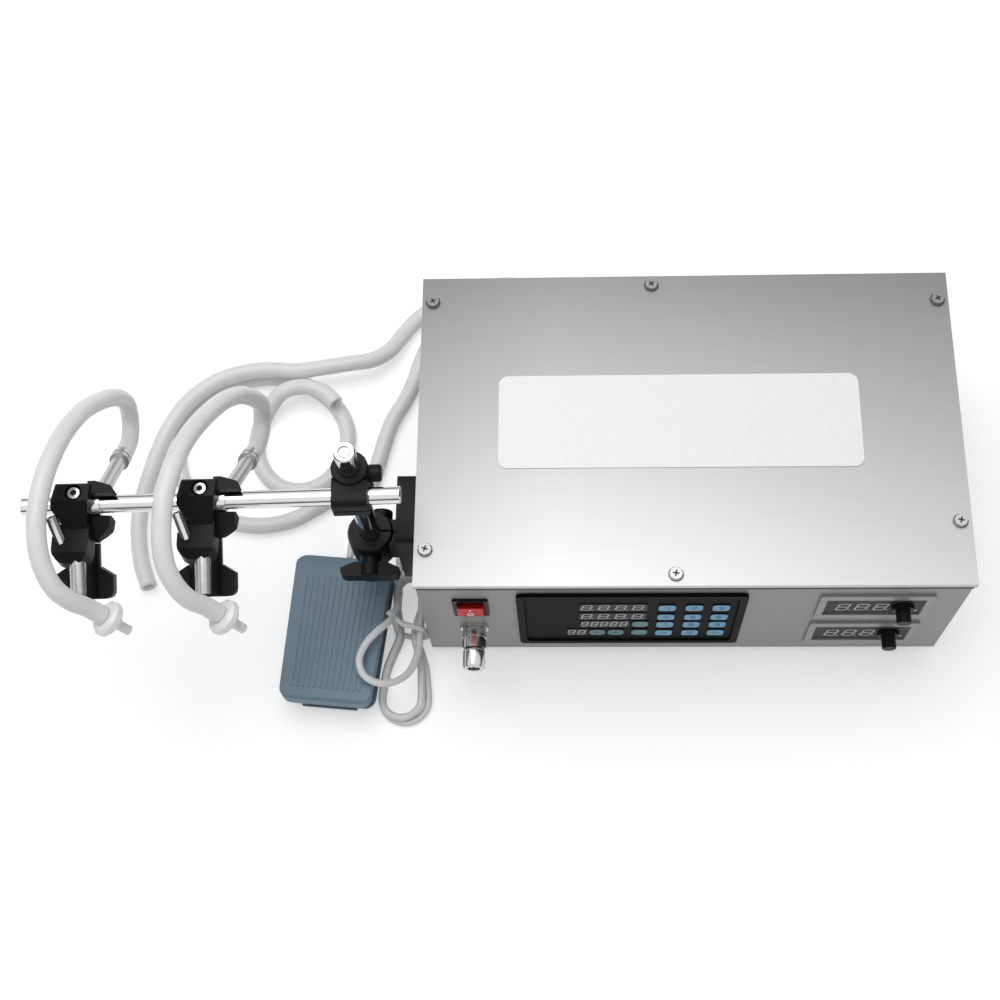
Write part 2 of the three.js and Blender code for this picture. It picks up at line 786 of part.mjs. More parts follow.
function buildSwitchHousing() {
  const flange = frontPlate(roundedShape(switchWidth, switchHeight, switchRim / 2), frontY, switchFlange);
  flange.translate(switchX, 0, switchZ);
  const halfX = (switchWidth - switchRim) / 2;
  const halfZ = (switchHeight - switchRim) / 2;
  const body = box(
    [switchX - halfX, frontY, switchZ - halfZ],
    [switchX + halfX, frontY + switchBodyDepth, switchZ + halfZ],
  );
  const well = box(
    [switchX - halfX + switchRim / 2, frontY - switchFlange - overrun, switchZ - halfZ + switchRim / 2],
    [switchX + halfX - switchRim / 2, frontY + switchBodyDepth - switchRim, switchZ + halfZ - switchRim / 2],
  );
  return cut(join(solidOf(flange), body), well);
}

function buildRocker() {
  const halfZ = (switchHeight - switchRim) / 2 - switchRim / 2 - rockerEndGap;
  const tilt = THREE.MathUtils.degToRad(rockerTilt);
  const nose = rockerNose;
  const edge = nose - halfZ * Math.tan(tilt) * 2;
  const profile = shapeOf([
    [-nose + rockerThickness, -halfZ + switchRim], [-edge, -halfZ], [-nose, 0], [-edge, halfZ],
    [-nose + rockerThickness, halfZ - switchRim], [-rockerThickness, rockerThickness],
    [pivotRadius, rockerThickness / 2], [pivotRadius, -rockerThickness / 2],
    [-rockerThickness, -rockerThickness],
  ]);
  const halfX = (switchWidth - 2 * switchRim) / 2 - runningGap;
  const paddle = sidePlate(profile, -halfX, 2 * halfX);
  const pin = bar(vector(-halfX - runningGap / 4, 0, 0), alongX, pivotRadius, 2 * halfX + runningGap / 2);
  return join(solidOf(paddle), pin);
}

add('switch_housing', buildSwitchHousing(), finish.black);
const rockerGroup = new THREE.Group();
rockerGroup.position.set(switchX, rockerPivotY, switchZ);
rockerGroup.rotation.x = THREE.MathUtils.degToRad(rockerTilt);
machine.add(rockerGroup);
add('switch_rocker', buildRocker(), finish.red, rockerGroup);

// Four-pin connector: the panel socket, the plug's body and its coupling ring

function buildSocket() {
  const face = vector(socketX, frontY, socketZ);
  const profile = [
    [0, -socketBodyDepth], [socketThreadRadius, -socketBodyDepth], [socketThreadRadius, 0],
    [socketFlangeRadius, 0], [socketFlangeRadius, socketFlangeDepth],
    [socketThreadRadius, socketFlangeDepth],
    [socketThreadRadius, socketFlangeDepth + socketThreadLength],
    [socketBore, socketFlangeDepth + socketThreadLength],
    [socketBore, socketFlangeDepth + socketThreadLength - socketBoreDepth],
    [0, socketFlangeDepth + socketThreadLength - socketBoreDepth],
  ];
  const nutStart = vector(socketX, frontY + sheet + gap, socketZ);
  const nut = turned(nutStart, alongY, [
    [socketThreadRadius - gap, 0], [socketBodyRadius + gap, 0], [socketBodyRadius + gap, sheet * 2],
    [socketThreadRadius - gap, sheet * 2], [socketThreadRadius - gap, 0],
  ], hexagon);
  return join(turned(face, toFront, profile), nut);
}

const socketMouthY = frontY - socketFlangeDepth - socketThreadLength;
const plugStartY = socketMouthY - gap;

function buildPlug() {
  const start = vector(socketX, plugStartY, socketZ);
  const shoulder = ringLip + gap;
  const total = shoulder + ringLength / 2 + plugBackLength;
  const body = turned(start, toFront, [
    [0, -plugNoseLength], [plugNoseRadius, -plugNoseLength], [plugNoseRadius, 0],
    [plugBodyRadius, 0], [plugBodyRadius, ringLength / 2 + gap],
    [plugBackRadius, ringLength / 2 + shoulder + gap], [plugBackRadius, total - ringLip],
    [plugBackRadius - ringLip / 2, total], [plugBore, total],
    [plugBore, total - plugBoreDepth], [0, total - plugBoreDepth],
  ]);
  const screwHeight = vector(socketX, plugStartY - total + plugBoreDepth / 2, socketZ);
  const screw = bar(screwHeight, alongX, ringLip / 2, plugBackRadius + gap);
  return join(body, screw);
}

function buildPlugRing() {
  const start = vector(socketX, frontY - socketFlangeDepth - runningGap, socketZ);
  const reach = socketThreadLength + runningGap + ringLength / 2 - gap;
  const inner = socketThreadRadius + gap;
  const groove = ringRadius - ringGrooveDepth;
  return turned(start, toFront, [
    [inner, 0], [ringRadius, 0], [ringRadius, reach / 2 - ringGrooveWidth / 2],
    [groove, reach / 2 - ringGrooveWidth / 2], [groove, reach / 2 + ringGrooveWidth / 2],
    [ringRadius, reach / 2 + ringGrooveWidth / 2], [ringRadius, reach],
    [inner, reach], [inner, 0],
  ]);
}

add('pedal_socket', buildSocket(), finish.chrome);
add('connector_plug', buildPlug(), finish.chrome);
add('plug_ring', buildPlugRing(), finish.chrome);

// Control panel: a plastic frame, and a sheet with raised keys and display windows

function panelPoint([shareX, shareZ]) {
  return [panelX + (shareX * panelWidth) / 2, panelZ + (shareZ * panelHeight) / 2];
}

function padAt([x, z], width, height, y, proud) {
  return box([x - width / 2, y - proud, z - height / 2], [x + width / 2, y + gap, z + height / 2]);
}

function buildPanelFrame() {
  const outer = frontPlate(roundedShape(panelWidth, panelHeight, panelCorner), frontY, panelProud);
  outer.translate(panelX, 0, panelZ);
  const innerWidth = panelWidth - 2 * panelRim - 2 * gap;
  const innerHeight = panelHeight - 2 * panelRim - 2 * gap;
  const tub = frontPlate(
    roundedShape(innerWidth, innerHeight, panelCorner), frontY + panelBack, panelBack + gap,
  );
  tub.translate(panelX, 0, panelZ);
  const mouth = frontPlate(
    roundedShape(innerWidth - panelRim / 2, innerHeight - panelRim / 2, panelCorner),
    frontY + panelBack + overrun, panelBack + panelProud + 2 * overrun,
  );
  mouth.translate(panelX, 0, panelZ);
  return cut(join(solidOf(outer), solidOf(tub)), solidOf(mouth));
}

function buildOverlay() {
  const width = panelWidth - 2 * panelRim - panelRim / 2 - 4 * gap;
  const height = panelHeight - 2 * panelRim - panelRim / 2 - 4 * gap;
  const face = frontY - overlaySheet;
  const pads = [];
  for (const row of keyRowShares) {
    for (const column of keyColumnShares) {
      pads.push(padAt(panelPoint([column, row]), keyWidth, keyHeight, face, keyProud));
    }
  }
  for (const place of arrowRowShares) {
    pads.push(padAt(panelPoint(place), smallKeyWidth, keyHeight, face, keyProud));
  }
  for (const place of wideDisplayShares) {
    pads.push(padAt(panelPoint(place), wideDisplayWidth, displayHeight, face, displayProud));
  }
  pads.push(padAt(panelPoint(narrowDisplayShare), narrowDisplayWidth, displayHeight, face, displayProud));
  pads.push(padAt(panelPoint(stepDisplayShare), stepDisplayWidth, displayHeight, face, displayProud));
  const back = frontPlate(
    roundedShape(width, height, panelCorner), frontY + panelBack, panelBack + overlaySheet,
  );
  back.translate(panelX, 0, panelZ);
  return join(solidOf(back), ...pads);
}

add('control_frame', buildPanelFrame(), finish.gloss);
add('key_panel', buildOverlay(), finish.blue);

// Speed meters and knobs

const meterKnobX = meterX + (meterKnobShare * meterWidth) / 2;
const meterFaceY = frontY - meterProud;

function buildMeter(z) {
  const bezel = frontPlate(roundedShape(meterWidth, meterHeight, meterCorner), frontY, meterProud);
  bezel.translate(meterX, 0, z);
  const bodyX = (meterWidth - meterRim) / 2;
  const bodyZ = (meterHeight - meterRim) / 2;
  const body = box(
    [meterX - bodyX, frontY, z - bodyZ], [meterX + bodyX, frontY + meterBodyDepth, z + bodyZ],
  );
  const windowX = meterWidth / 2 - meterRim;
  const windowZ = meterHeight / 2 - meterRim * 1.5;
  const recess = box(
    [meterX - windowX, meterFaceY - overrun, z - windowZ],
    [meterX + windowX, meterFaceY + meterWindowRecess, z + windowZ],
  );
  const face = meterFaceY + meterWindowRecess;
  const stemHole = bar(
    vector(meterKnobX, face - overrun, z), alongY, knobStemRadius + runningGap,
    knobStemLength + overrun + gap,
  );
  return cut(join(solidOf(bezel), body), recess, stemHole);
}

function buildMeterKnob(z) {
  const start = vector(meterKnobX, meterFaceY + meterWindowRecess - runningGap, z);
  const end = knobFlangeDepth + knobShaftLength;
  return turned(start, toFront, [
    [0, -knobStemLength], [knobStemRadius, -knobStemLength], [knobStemRadius, 0],
    [knobFlangeRadius, 0], [knobFlangeRadius, knobFlangeDepth], [knobShaftRadius, knobFlangeDepth],
    [knobShaftRadius, end - gap], [knobShaftRadius - gap, end], [0, end],
  ]);
}

add('speed_meter_upper', buildMeter(upperMeterZ), finish.silver);
add('speed_meter_lower', buildMeter(lowerMeterZ), finish.silver);
add('speed_knob_upper', buildMeterKnob(upperMeterZ), finish.black);
add('speed_knob_lower', buildMeterKnob(lowerMeterZ), finish.black);

// Pumps: motor, coupling and head in line, ports through the rear panel

const boardWidth = panelWidth - 2 * boardMargin;
const boardHeight = panelHeight - 2 * boardHeightMargin;
const headBackY = backY - sheet - gap - portNutLength;
const headFrontY = headBackY - pumpHeadDepth;
const motorEndY = headFrontY - couplingGap;

function buildPort(x) {
  const start = vector(x, headBackY, pumpAxisZ);
  const profile = [
    [0, -gap], [portNutRadius, -gap], [portNutRadius, portNutLength], [portRadius, portNutLength],
  ];
  const first = portNutLength + sheet + 2 * gap;
  const barb = (portNutLength + portLength - first) / portBarbCount;
  for (let i = 0; i < portBarbCount; i += 1) {
    const from = first + i * barb;
    profile.push([portRadius, from], [portBarbRadius, from + barb / 4], [portRadius, from + barb]);
  }
  profile.push([0, portNutLength + portLength]);
  return turned(start, alongY, profile, holeSides);
}

function buildPump(x) {
  const motor = turned(vector(x, motorEndY, pumpAxisZ), toFront, [
    [0, 0], [motorRadius - gap * 3, 0], [motorRadius, gap * 3], [motorRadius, motorLength],
    [motorRadius - motorBackBoss, motorLength], [motorRadius - motorBackBoss, motorLength + motorBackBoss],
    [0, motorLength + motorBackBoss],
  ]);
  const head = frontPlate(roundedShape(pumpHeadWidth, pumpHeadHeight, pumpCorner), headBackY, pumpHeadDepth);
  head.translate(x, 0, pumpAxisZ);
  const footX = pumpHeadWidth / 2;
  const foot = box(
    [x - footX, motorEndY - motorLength, floorZ], [x + footX, headBackY, floorZ + pumpFootThickness],
  );
  const motorSaddle = box(
    [x - saddleHalfWidth, motorEndY - motorLength + saddleInset, floorZ],
    [x + saddleHalfWidth, motorEndY - saddleInset, pumpAxisZ],
  );
  const headSaddle = box(
    [x - footX, headFrontY, floorZ], [x + footX, headBackY, pumpAxisZ],
  );
  const shaftHole = shaftRadius + runningGap;
  const headHole = bar(vector(x, headFrontY - overrun, pumpAxisZ), alongY, shaftHole, shaftEnd + overrun);
  const motorHole = bar(vector(x, motorEndY + overrun, pumpAxisZ), toFront, shaftHole, shaftEnd + overrun);
  const ports = [x - portSpacing / 2, x + portSpacing / 2].map(buildPort);
  return cut(join(motor, motorSaddle, foot, headSaddle, solidOf(head), ...ports), headHole, motorHole);
}

function buildCoupling(x) {
  const middleY = (motorEndY + headFrontY) / 2;
  const reach = couplingGap / 2 + shaftEnd - 2 * gap;
  const shaft = bar(vector(x, middleY - reach, pumpAxisZ), alongY, shaftRadius, 2 * reach);
  const shape = new THREE.Shape();
  const lobeSteps = couplingLobes * 3;
  for (let i = 0; i < lobeSteps; i += 1) {
    const angle = (i / lobeSteps) * 2 * Math.PI;
    const radius = couplingRadius - shaftRadius / 4 + (shaftRadius / 4) * Math.cos(couplingLobes * angle);
    const point = [radius * Math.cos(angle), radius * Math.sin(angle)];
    if (i === 0) shape.moveTo(...point);
    else shape.lineTo(...point);
  }
  shape.closePath();
  const disc = frontPlate(shape, middleY + couplingDepth / 2, couplingDepth);
  disc.translate(x, 0, pumpAxisZ);
  return join(shaft, solidOf(disc));
}

add('pump_left', buildPump(leftPumpX), finish.silver);
add('pump_right', buildPump(rightPumpX), finish.silver);
add('pump_coupling_left', buildCoupling(leftPumpX), finish.red);
add('pump_coupling_right', buildCoupling(rightPumpX), finish.red);

// Cooling fan behind the rear slots

const fanBackY = backY - sheet;
const fanFrontY = fanBackY - fanDepth;

function buildFanFrame() {
  const plate = frontPlate(roundedShape(fanSize, fanSize, fanSlotCorner * 2), fanBackY, fanDepth);
  plate.translate(fanX, 0, fanZ);
  const hole = bar(
    vector(fanX, fanFrontY - overrun, fanZ), alongY, fanRingRadius, fanDepth + 2 * overrun, brightSides,
  );
  const spiderY = fanFrontY + fanStrutDepth;
  const struts = [
    box([fanX - fanRingRadius - overrun, fanFrontY, fanZ - fanStrutWidth / 2],
      [fanX + fanRingRadius + overrun, spiderY, fanZ + fanStrutWidth / 2]),
    box([fanX - fanStrutWidth / 2, fanFrontY, fanZ - fanRingRadius - overrun],
      [fanX + fanStrutWidth / 2, spiderY, fanZ + fanRingRadius + overrun]),
  ];
  const seat = bar(vector(fanX, fanFrontY, fanZ), alongY, fanHubRadius, fanStrutDepth, smallSides);
  const axle = bar(vector(fanX, fanFrontY, fanZ), alongY, fanAxleRadius, fanDepth - fanStrutDepth);
  return join(cut(solidOf(plate), hole), ...struts, seat, axle);
}

function buildFanRotor() {
  const start = fanFrontY + fanStrutDepth + runningGap;
  const hub = bar(vector(fanX, start, fanZ), alongY, fanHubRadius, fanHubDepth, smallSides);
  const bore = bar(
    vector(fanX, start - overrun, fanZ), alongY, fanAxleRadius + runningGap, fanHubDepth + 2 * overrun,
  );
  const blades = [];
  for (let i = 0; i < fanBladeCount; i += 1) {
    const length = fanRotorRadius - fanHubRadius + overrun;
    const blade = new THREE.BoxGeometry(length, fanBladeThickness, fanHubDepth * 1.1);
    blade.rotateX(THREE.MathUtils.degToRad(90 - fanBladePitch));
    blade.translate(fanHubRadius - overrun + length / 2, 0, 0);
    blade.rotateY((i / fanBladeCount) * 2 * Math.PI);
    blade.translate(fanX, start + fanHubDepth / 2, fanZ);
    blades.push(solidOf(blade));
  }
  return cut(join(hub, ...blades), bore);
}

add('fan_frame', buildFanFrame(), finish.black);
add('fan_rotor', buildFanRotor(), finish.black);

// Rear power inlet and cable gland

function buildInlet() {
  const flange = box(
    [inletX - inletWidth / 2, backY, inletZ - inletHeight / 2],
    [inletX + inletWidth / 2, backY + inletFlange, inletZ + inletHeight / 2],
  );
  const half = inletWidth / 2 - inletFlange - gap;
  const halfZ = inletHeight / 2 - inletFlange - gap;
  const body = box(
    [inletX - half, backY - inletBodyDepth, inletZ - halfZ], [inletX + half, backY, inletZ + halfZ],
  );
  const mouthZ = inletZ - inletHeight / 2 + inletFlange + inletMouthHeight / 2 + gap;
  const mouthDepthY = backY + inletFlange - inletMouthDepth;
  const mouth = box(
    [inletX - inletMouthWidth / 2, mouthDepthY, mouthZ - inletMouthHeight / 2],
    [inletX + inletMouthWidth / 2, backY + inletFlange + overrun, mouthZ + inletMouthHeight / 2],
  );
  const pins = [-inletPinSpacing, 0, inletPinSpacing].map((shift) => {
    const z = mouthZ + (shift === 0 ? inletPinHeight / 2 : -inletPinHeight / 4);
    return box(
      [inletX + shift - inletPinWidth / 2, mouthDepthY - gap, z - inletPinHeight / 2],
      [inletX + shift + inletPinWidth / 2, mouthDepthY + inletPinLength, z + inletPinHeight / 2],
    );
  });
  return join(cut(join(flange, body), mouth), ...pins);
}

function buildGland() {
  const face = vector(glandX, backY, glandZ);
  const dome = turned(face, alongY, [
    [0, -glandThreadDepth], [glandThreadRadius, -glandThreadDepth], [glandThreadRadius, 0],
    [glandNutRadius - gap, 0], [glandDomeRadius, glandNutDepth],
    [glandDomeRadius, glandNutDepth + glandDomeStraight],
    [cableRadius * 1.6, glandNutDepth + glandDomeDepth], [0, glandNutDepth + glandDomeDepth],
  ], smallSides);
  const nut = bar(face, alongY, glandNutRadius, glandNutDepth, hexagon);
  return join(dome, nut);
}

add('power_inlet', buildInlet(), finish.black);
add('cable_gland', buildGland(), finish.black);

// Power supply and control board

function buildSupply() {
  const low = [supplyX - supplyWidth / 2, supplyY - supplyDepth / 2, floorZ];
  const high = [supplyX + supplyWidth / 2, supplyY + supplyDepth / 2, floorZ + supplyHeight];
  const can = box(low, high);
  const slots = [];
  for (let i = 0; i < supplySlotCount; i += 1) {
    const y = supplyY + ((i + 0.5) / supplySlotCount - 0.5) * supplyDepth * 0.7;
    slots.push(box(
      [supplyX - supplyWidth * 0.35, y - supplySlotWidth / 2, high[2] - sheet],
      [supplyX + supplyWidth * 0.35, y + supplySlotWidth / 2, high[2] + overrun],
    ));
  }
  const terminal = box(
    [low[0] + supplySlotWidth, low[1] - supplySlotWidth * 4, floorZ],
    [high[0] - supplySlotWidth, low[1], floorZ + supplyHeight / 2],
  );
  return join(cut(can, ...slots), terminal);
}

function buildBoard() {
  const y = frontY + panelBack + boardStandoff;
  const board = box(
    [panelX - boardWidth / 2, y, panelZ - boardHeight / 2],
    [panelX + boardWidth / 2, y + boardSheet, panelZ + boardHeight / 2],
  );
  const pieces = [board];
  for (const [sx, sz] of [[-1, -1], [1, -1], [1, 1], [-1, 1]]) {
    const post = vector(
      panelX + sx * (boardWidth / 2 - boardPartDepth / 2), frontY + panelBack,
      panelZ + sz * (boardHeight / 2 - boardPartDepth / 2),
    );
    pieces.push(bar(post, alongY, boardStandoff / 2, boardStandoff + boardSheet, hexagon));
  }
  for (const share of [-0.6, 0, 0.6]) {
    const x = panelX + (share * boardWidth) / 2;
    pieces.push(box(
      [x - boardPartDepth, y + boardSheet, panelZ - boardPartDepth],
      [x + boardPartDepth, y + boardSheet + boardPartDepth, panelZ + boardPartDepth],
    ));
  }
  return join(...pieces);
}

add('power_supply', buildSupply(), finish.silver);
add('control_board', buildBoard(), finish.board);

// Stand: side bracket, hub, mast and the hub's wing knob

// A wing knob along a direction: hub, two wings across sideways, threaded stem behind it
function buildWingKnob(start, direction, sideways, sizes) {
  const { span, wingDepth, hubLength, hubRadius: radius, stemLength, thickness, corner } = sizes;
  const shape = new THREE.Shape();
  const reach = span / 2;
  const total = hubLength + wingDepth;
  const inner = reach * wingTaperShare;
  shape.moveTo(0, hubLength);
  shape.lineTo(inner, hubLength);
  shape.lineTo(reach, hubLength + corner);
  shape.lineTo(reach, total - corner);
  shape.quadraticCurveTo(reach, total, reach - corner, total);
  shape.lineTo(-reach + corner, total);
  shape.quadraticCurveTo(-reach, total, -reach, total - corner);
  shape.lineTo(-reach, hubLength + corner);
  shape.lineTo(-inner, hubLength);
  shape.closePath();
  const wings = new THREE.ExtrudeGeometry(
    shape, { depth: thickness, bevelEnabled: false, curveSegments: wingCornerSteps },
  );
  wings.translate(0, 0, -thickness / 2);
  const axis = direction.clone().normalize();
  const across = sideways.clone().normalize();
  const facing = across.clone().cross(axis);
  wings.applyMatrix4(new THREE.Matrix4().makeBasis(across, axis, facing));
  wings.translate(start.x, start.y, start.z);
  const body = turned(start, axis, [
    [0, -stemLength], [stemRadius, -stemLength], [stemRadius, 0], [radius, 0],
    [radius, total - overrun], [radius - overrun, total], [0, total],
  ]);
  return join(solidOf(wings), body);
}

function buildBracket() {
  const depth = bracketBackY - bracketFrontY;
  const shape = roundedShape(depth, bracketTopZ - bracketBottomZ, bracketCorner);
  const plate = sidePlate(shape, bracketX, bracketThickness);
  plate.translate(0, (bracketBackY + bracketFrontY) / 2, (bracketTopZ + bracketBottomZ) / 2);
  const boltHoles = [bracketTopZ - 2 * bracketCorner, bracketBottomZ + 2 * bracketCorner].map((z) => (
    bar(vector(bracketX - overrun, mastY, z), alongX, capScrewHeadRadius + gap, capScrewHeadHeight + overrun)
  ));
  const bolts = [bracketTopZ - 2 * bracketCorner, bracketBottomZ + 2 * bracketCorner].map((z) => cut(
    bar(vector(bracketX + gap, mastY, z), alongX, capScrewHeadRadius, capScrewHeadHeight),
    bar(
      vector(bracketX - overrun, mastY, z), alongX, capScrewSocketRadius,
      capScrewSocketDepth + overrun, hexagon,
    ),
  ));
  return join(cut(solidOf(plate), ...boltHoles), ...bolts);
}

function buildHub() {
  const base = vector(mastX, mastY, hubBottomZ);
  const height = hubTopZ - hubBottomZ;
  const drum = turned(base, alongZ, [
    [0, 0], [hubRadius - hubRimStep / 2, 0], [hubRadius, hubRimStep / 2],
    [hubRadius, height - hubRimStep], [hubRadius - hubRimStep / 2, height], [0, height],
  ], brightSides);
  const neck = box(
    [mastX, mastY - hubNeckWidth / 2, hubBottomZ + hubRimStep],
    [bracketX, mastY + hubNeckWidth / 2, hubTopZ - hubRimStep],
  );
  const boss = bar(
    vector(mastX, mastY - hubRadius + overrun, hubKnobZ), toFront,
    hubBossRadius, hubBossLength + overrun, roundSides,
  );
  const backBoss = bar(
    vector(mastX + hubBackBossShift, mastY + hubRadius / 2, hubKnobZ + hubRimStep), alongY,
    hubBossRadius, hubRadius / 2 + hubBossLength, roundSides,
  );
  const bore = bar(
    vector(mastX, mastY, hubBottomZ - overrun), alongZ, mastRadius + gap, height + 2 * overrun, brightSides,
  );
  const slot = box(
    [mastX + mastRadius, mastY - hubSlot / 2, hubTopZ - height / 2],
    [bracketX - gap, mastY + hubSlot / 2, hubTopZ + overrun],
  );
  const stemHole = bar(
    vector(mastX, mastY, hubKnobZ), toFront, stemHoleRadius, hubRadius + hubBossLength + overrun,
  );
  return cut(join(drum, neck, boss, backBoss), bore, slot, stemHole);
}

function buildMast() {
  return turned(vector(mastX, mastY, mastBottomZ), alongZ, [
    [0, 0], [mastRadius - overrun, 0], [mastRadius, overrun],
    [mastRadius, mastTopZ - mastBottomZ - overrun],
    [mastRadius - overrun, mastTopZ - mastBottomZ], [mastBoreRadius, mastTopZ - mastBottomZ],
    [mastBoreRadius, mastTopZ - mastBottomZ - mastBoreDepth],
    [0, mastTopZ - mastBottomZ - mastBoreDepth],
  ], brightSides);
}

const hubKnobStart = vector(mastX, mastY - hubRadius - hubBossLength - gap, hubKnobZ);

add('side_bracket', buildBracket(), finish.black);
add('mast_hub', buildHub(), finish.black);
add('mast', buildMast(), finish.polished);
add('hub_knob', buildWingKnob(hubKnobStart, toFront, alongX, {
  span: hubKnobSpan, wingDepth: hubKnobWingLength, hubLength: hubKnobHubLength, hubRadius: wingHubRadius,
  stemLength: hubBossLength + hubRadius - mastRadius - gap, thickness: hubWingThickness,
  corner: hubWingCorner,
}), finish.black);

// Cross clamp, its knob and the cross rod, in a frame with its origin on the mast's axis, X along the rod

const arm = new THREE.Group();
arm.position.set(mastX, mastY, 0);
arm.rotation.z = THREE.MathUtils.degToRad(armTurn);
machine.add(arm);

function buildCrossClamp() {
  const height = collarTopZ - collarBottomZ;
  const collar = turned(vector(0, 0, collarBottomZ), alongZ, [
    [0, 0], [collarRadius - overrun, 0], [collarRadius, overrun], [collarRadius, height - overrun],
    [collarRadius - overrun, height], [0, height],
  ], brightSides);
  const rodWall = crossRodRadius + collarRodWall;
  const halfWidth = collarWidth / 2;
  const lug = solidOf(
    sidePlate(roundedShape(2 * rodWall, 2 * rodWall, collarRodWall), -halfWidth, collarWidth),
  );
  const lugPlace = lug.translate([0, -crossRodOffset, crossRodZ]);
  const bore = bar(
    vector(0, 0, collarBottomZ - overrun), alongZ, mastRadius + gap, height + 2 * overrun, brightSides,
  );
  const rodBore = bar(
    vector(-halfWidth - overrun, -crossRodOffset, crossRodZ), alongX,
    crossRodRadius + gap, collarWidth + 2 * overrun, brightSides,
  );
  const boss = bar(vector(0, 0, clampKnobZ), alongX, clampKnobRadius, collarRadius + gap * 2, smallSides);
  const stemHole = bar(vector(0, 0, clampKnobZ), alongX, stemHoleRadius, collarRadius + 2 * overrun);
  const slit = box(
    [-halfWidth - overrun, -crossRodOffset - rodWall - overrun, crossRodZ - hubSlot / 2],
    [halfWidth + overrun, -crossRodOffset, crossRodZ + hubSlot / 2],
  );
  return cut(join(collar, lugPlace, boss), bore, rodBore, stemHole, slit);
}

function buildCrossRod() {
  const length = crossRodRight - crossRodLeft;
  return turned(vector(crossRodLeft, -crossRodOffset, crossRodZ), alongX, [
    [0, 0], [crossRodRadius - crossRodChamfer, 0], [crossRodRadius, crossRodChamfer],
    [crossRodRadius, length - crossRodChamfer], [crossRodRadius - crossRodChamfer, length], [0, length],
  ], brightSides);
}

function buildClampKnob() {
  const start = vector(collarRadius + 3 * gap, 0, clampKnobZ);
  return turned(start, alongX, [
    [0, -collarRadius + mastRadius], [stemRadius, -collarRadius + mastRadius], [stemRadius, 0],
    [clampKnobRadius, 0], [clampKnobRadius, clampKnobLength - overrun],
    [clampKnobRadius - overrun, clampKnobLength], [0, clampKnobLength],
  ]);
}

add('cross_clamp', buildCrossClamp(), finish.black, arm);
add('cross_clamp_knob', buildClampKnob(), finish.black, arm);
add('cross_rod', buildCrossRod(), finish.polished, arm);

// Nozzle stations: a split bush on the rod, the moulded head that swings on it, its cap screw
// and steel pin, the wing knob, and the bent nozzle. Each is built about the rod's centre.

const drop = THREE.MathUtils.degToRad(nozzleDrop);
const rise = THREE.MathUtils.degToRad(nozzleBend);
const nozzleForward = vector(0, -Math.cos(drop), -Math.sin(drop));
const corner = vector(...nozzleCorner);
const rodCentre = vector(0, 0, 0);

function nozzleRearward(roll) {
  const level = vector(0, Math.cos(rise - drop), -Math.sin(rise - drop));
  return level.applyAxisAngle(nozzleForward, THREE.MathUtils.degToRad(roll));
}

// Points of the nozzle's axis: straight, round the bend, straight
function nozzleAxis(roll, extra = 0) {
  const rearward = nozzleRearward(roll);
  const front = corner.clone().addScaledVector(nozzleForward, nozzleFrontLength + extra);
  const before = corner.clone().addScaledVector(nozzleForward, nozzleBendTrim);
  const after = corner.clone().addScaledVector(rearward, nozzleBendTrim);
  const rear = corner.clone().addScaledVector(rearward, nozzleRearLength + extra);
  const bend = new THREE.QuadraticBezierCurve3(before, corner, after);
  return [front, ...bend.getPoints(bendSteps), rear];
}

// A bar round points of an axis: one ring of points square to the path at each of them
function bentBar(points, radius, sides, across = alongX) {
  const positions = [];
  points.forEach((point, i) => {
    const back = points[Math.max(i - 1, 0)];
    const ahead = points[Math.min(i + 1, points.length - 1)];
    const along = ahead.clone().sub(back).normalize();
    const up = across.clone().cross(along).normalize();
    const side = along.clone().cross(up);
    for (let j = 0; j < sides; j += 1) {
      const angle = ((j + 0.5) / sides) * 2 * Math.PI;
      const ring = point.clone()
        .addScaledVector(side, radius * Math.cos(angle))
        .addScaledVector(up, radius * Math.sin(angle));
      positions.push(ring.x, ring.y, ring.z);
    }
  });
  const index = [];
  for (let i = 0; i + 1 < points.length; i += 1) {
    for (let j = 0; j < sides; j += 1) {
      const a = i * sides + j;
      const b = i * sides + ((j + 1) % sides);
      index.push(a, b, b + sides, a, b + sides, a + sides);
    }
  }
  const last = (points.length - 1) * sides;
  for (let j = 1; j + 1 < sides; j += 1) {
    index.push(0, j + 1, j);
    index.push(last, last + j, last + j + 1);
  }
  const geometry = new THREE.BufferGeometry();
  geometry.setAttribute('position', new THREE.Float32BufferAttribute(positions, 3));
  geometry.setIndex(index);
  return solidOf(geometry);
}

function buildNozzle(roll) {
  const rearward = nozzleRearward(roll);
  const rear = corner.clone().addScaledVector(rearward, nozzleRearLength);
  const ringStart = rear.clone().addScaledVector(rearward, -ferruleLength);
  const groove = ferruleRadius - ferruleGroove;
  const third = ferruleLength / 3;
  const ferrule = turned(ringStart, rearward, [
    [0, 0], [ferruleRadius, 0], [ferruleRadius, third], [groove, third],
    [groove, third + ferruleGrooveWidth], [ferruleRadius, third + ferruleGrooveWidth],
    [ferruleRadius, ferruleLength], [0, ferruleLength],
  ]);
  const outer = join(bentBar(nozzleAxis(roll), nozzleRadius, roundSides), ferrule);
  return cut(outer, bentBar(nozzleAxis(roll, overrun), nozzleBore, holeSides));
}

// The knob's axis runs under the nozzle's front part and parallel to it
const knobStart = corner.clone()
  .addScaledVector(nozzleForward, knobAhead)
  .add(vector(knobOffset, Math.sin(drop) * knobBelowNozzle, -Math.cos(drop) * knobBelowNozzle));
const knobBackward = nozzleForward.clone().negate();

// What a plan outline standing between two heights and a side outline have in common
function shaped(plan, low, high, side) {
  const [left, right] = [-2 * wingSpan, 4 * wingSpan];
  const standing = solidOf(floorPlate(shapeOf(plan), low, high - low));
  return side ? standing.intersect(solidOf(sidePlate(shapeOf(side), left, right))) : standing;
}

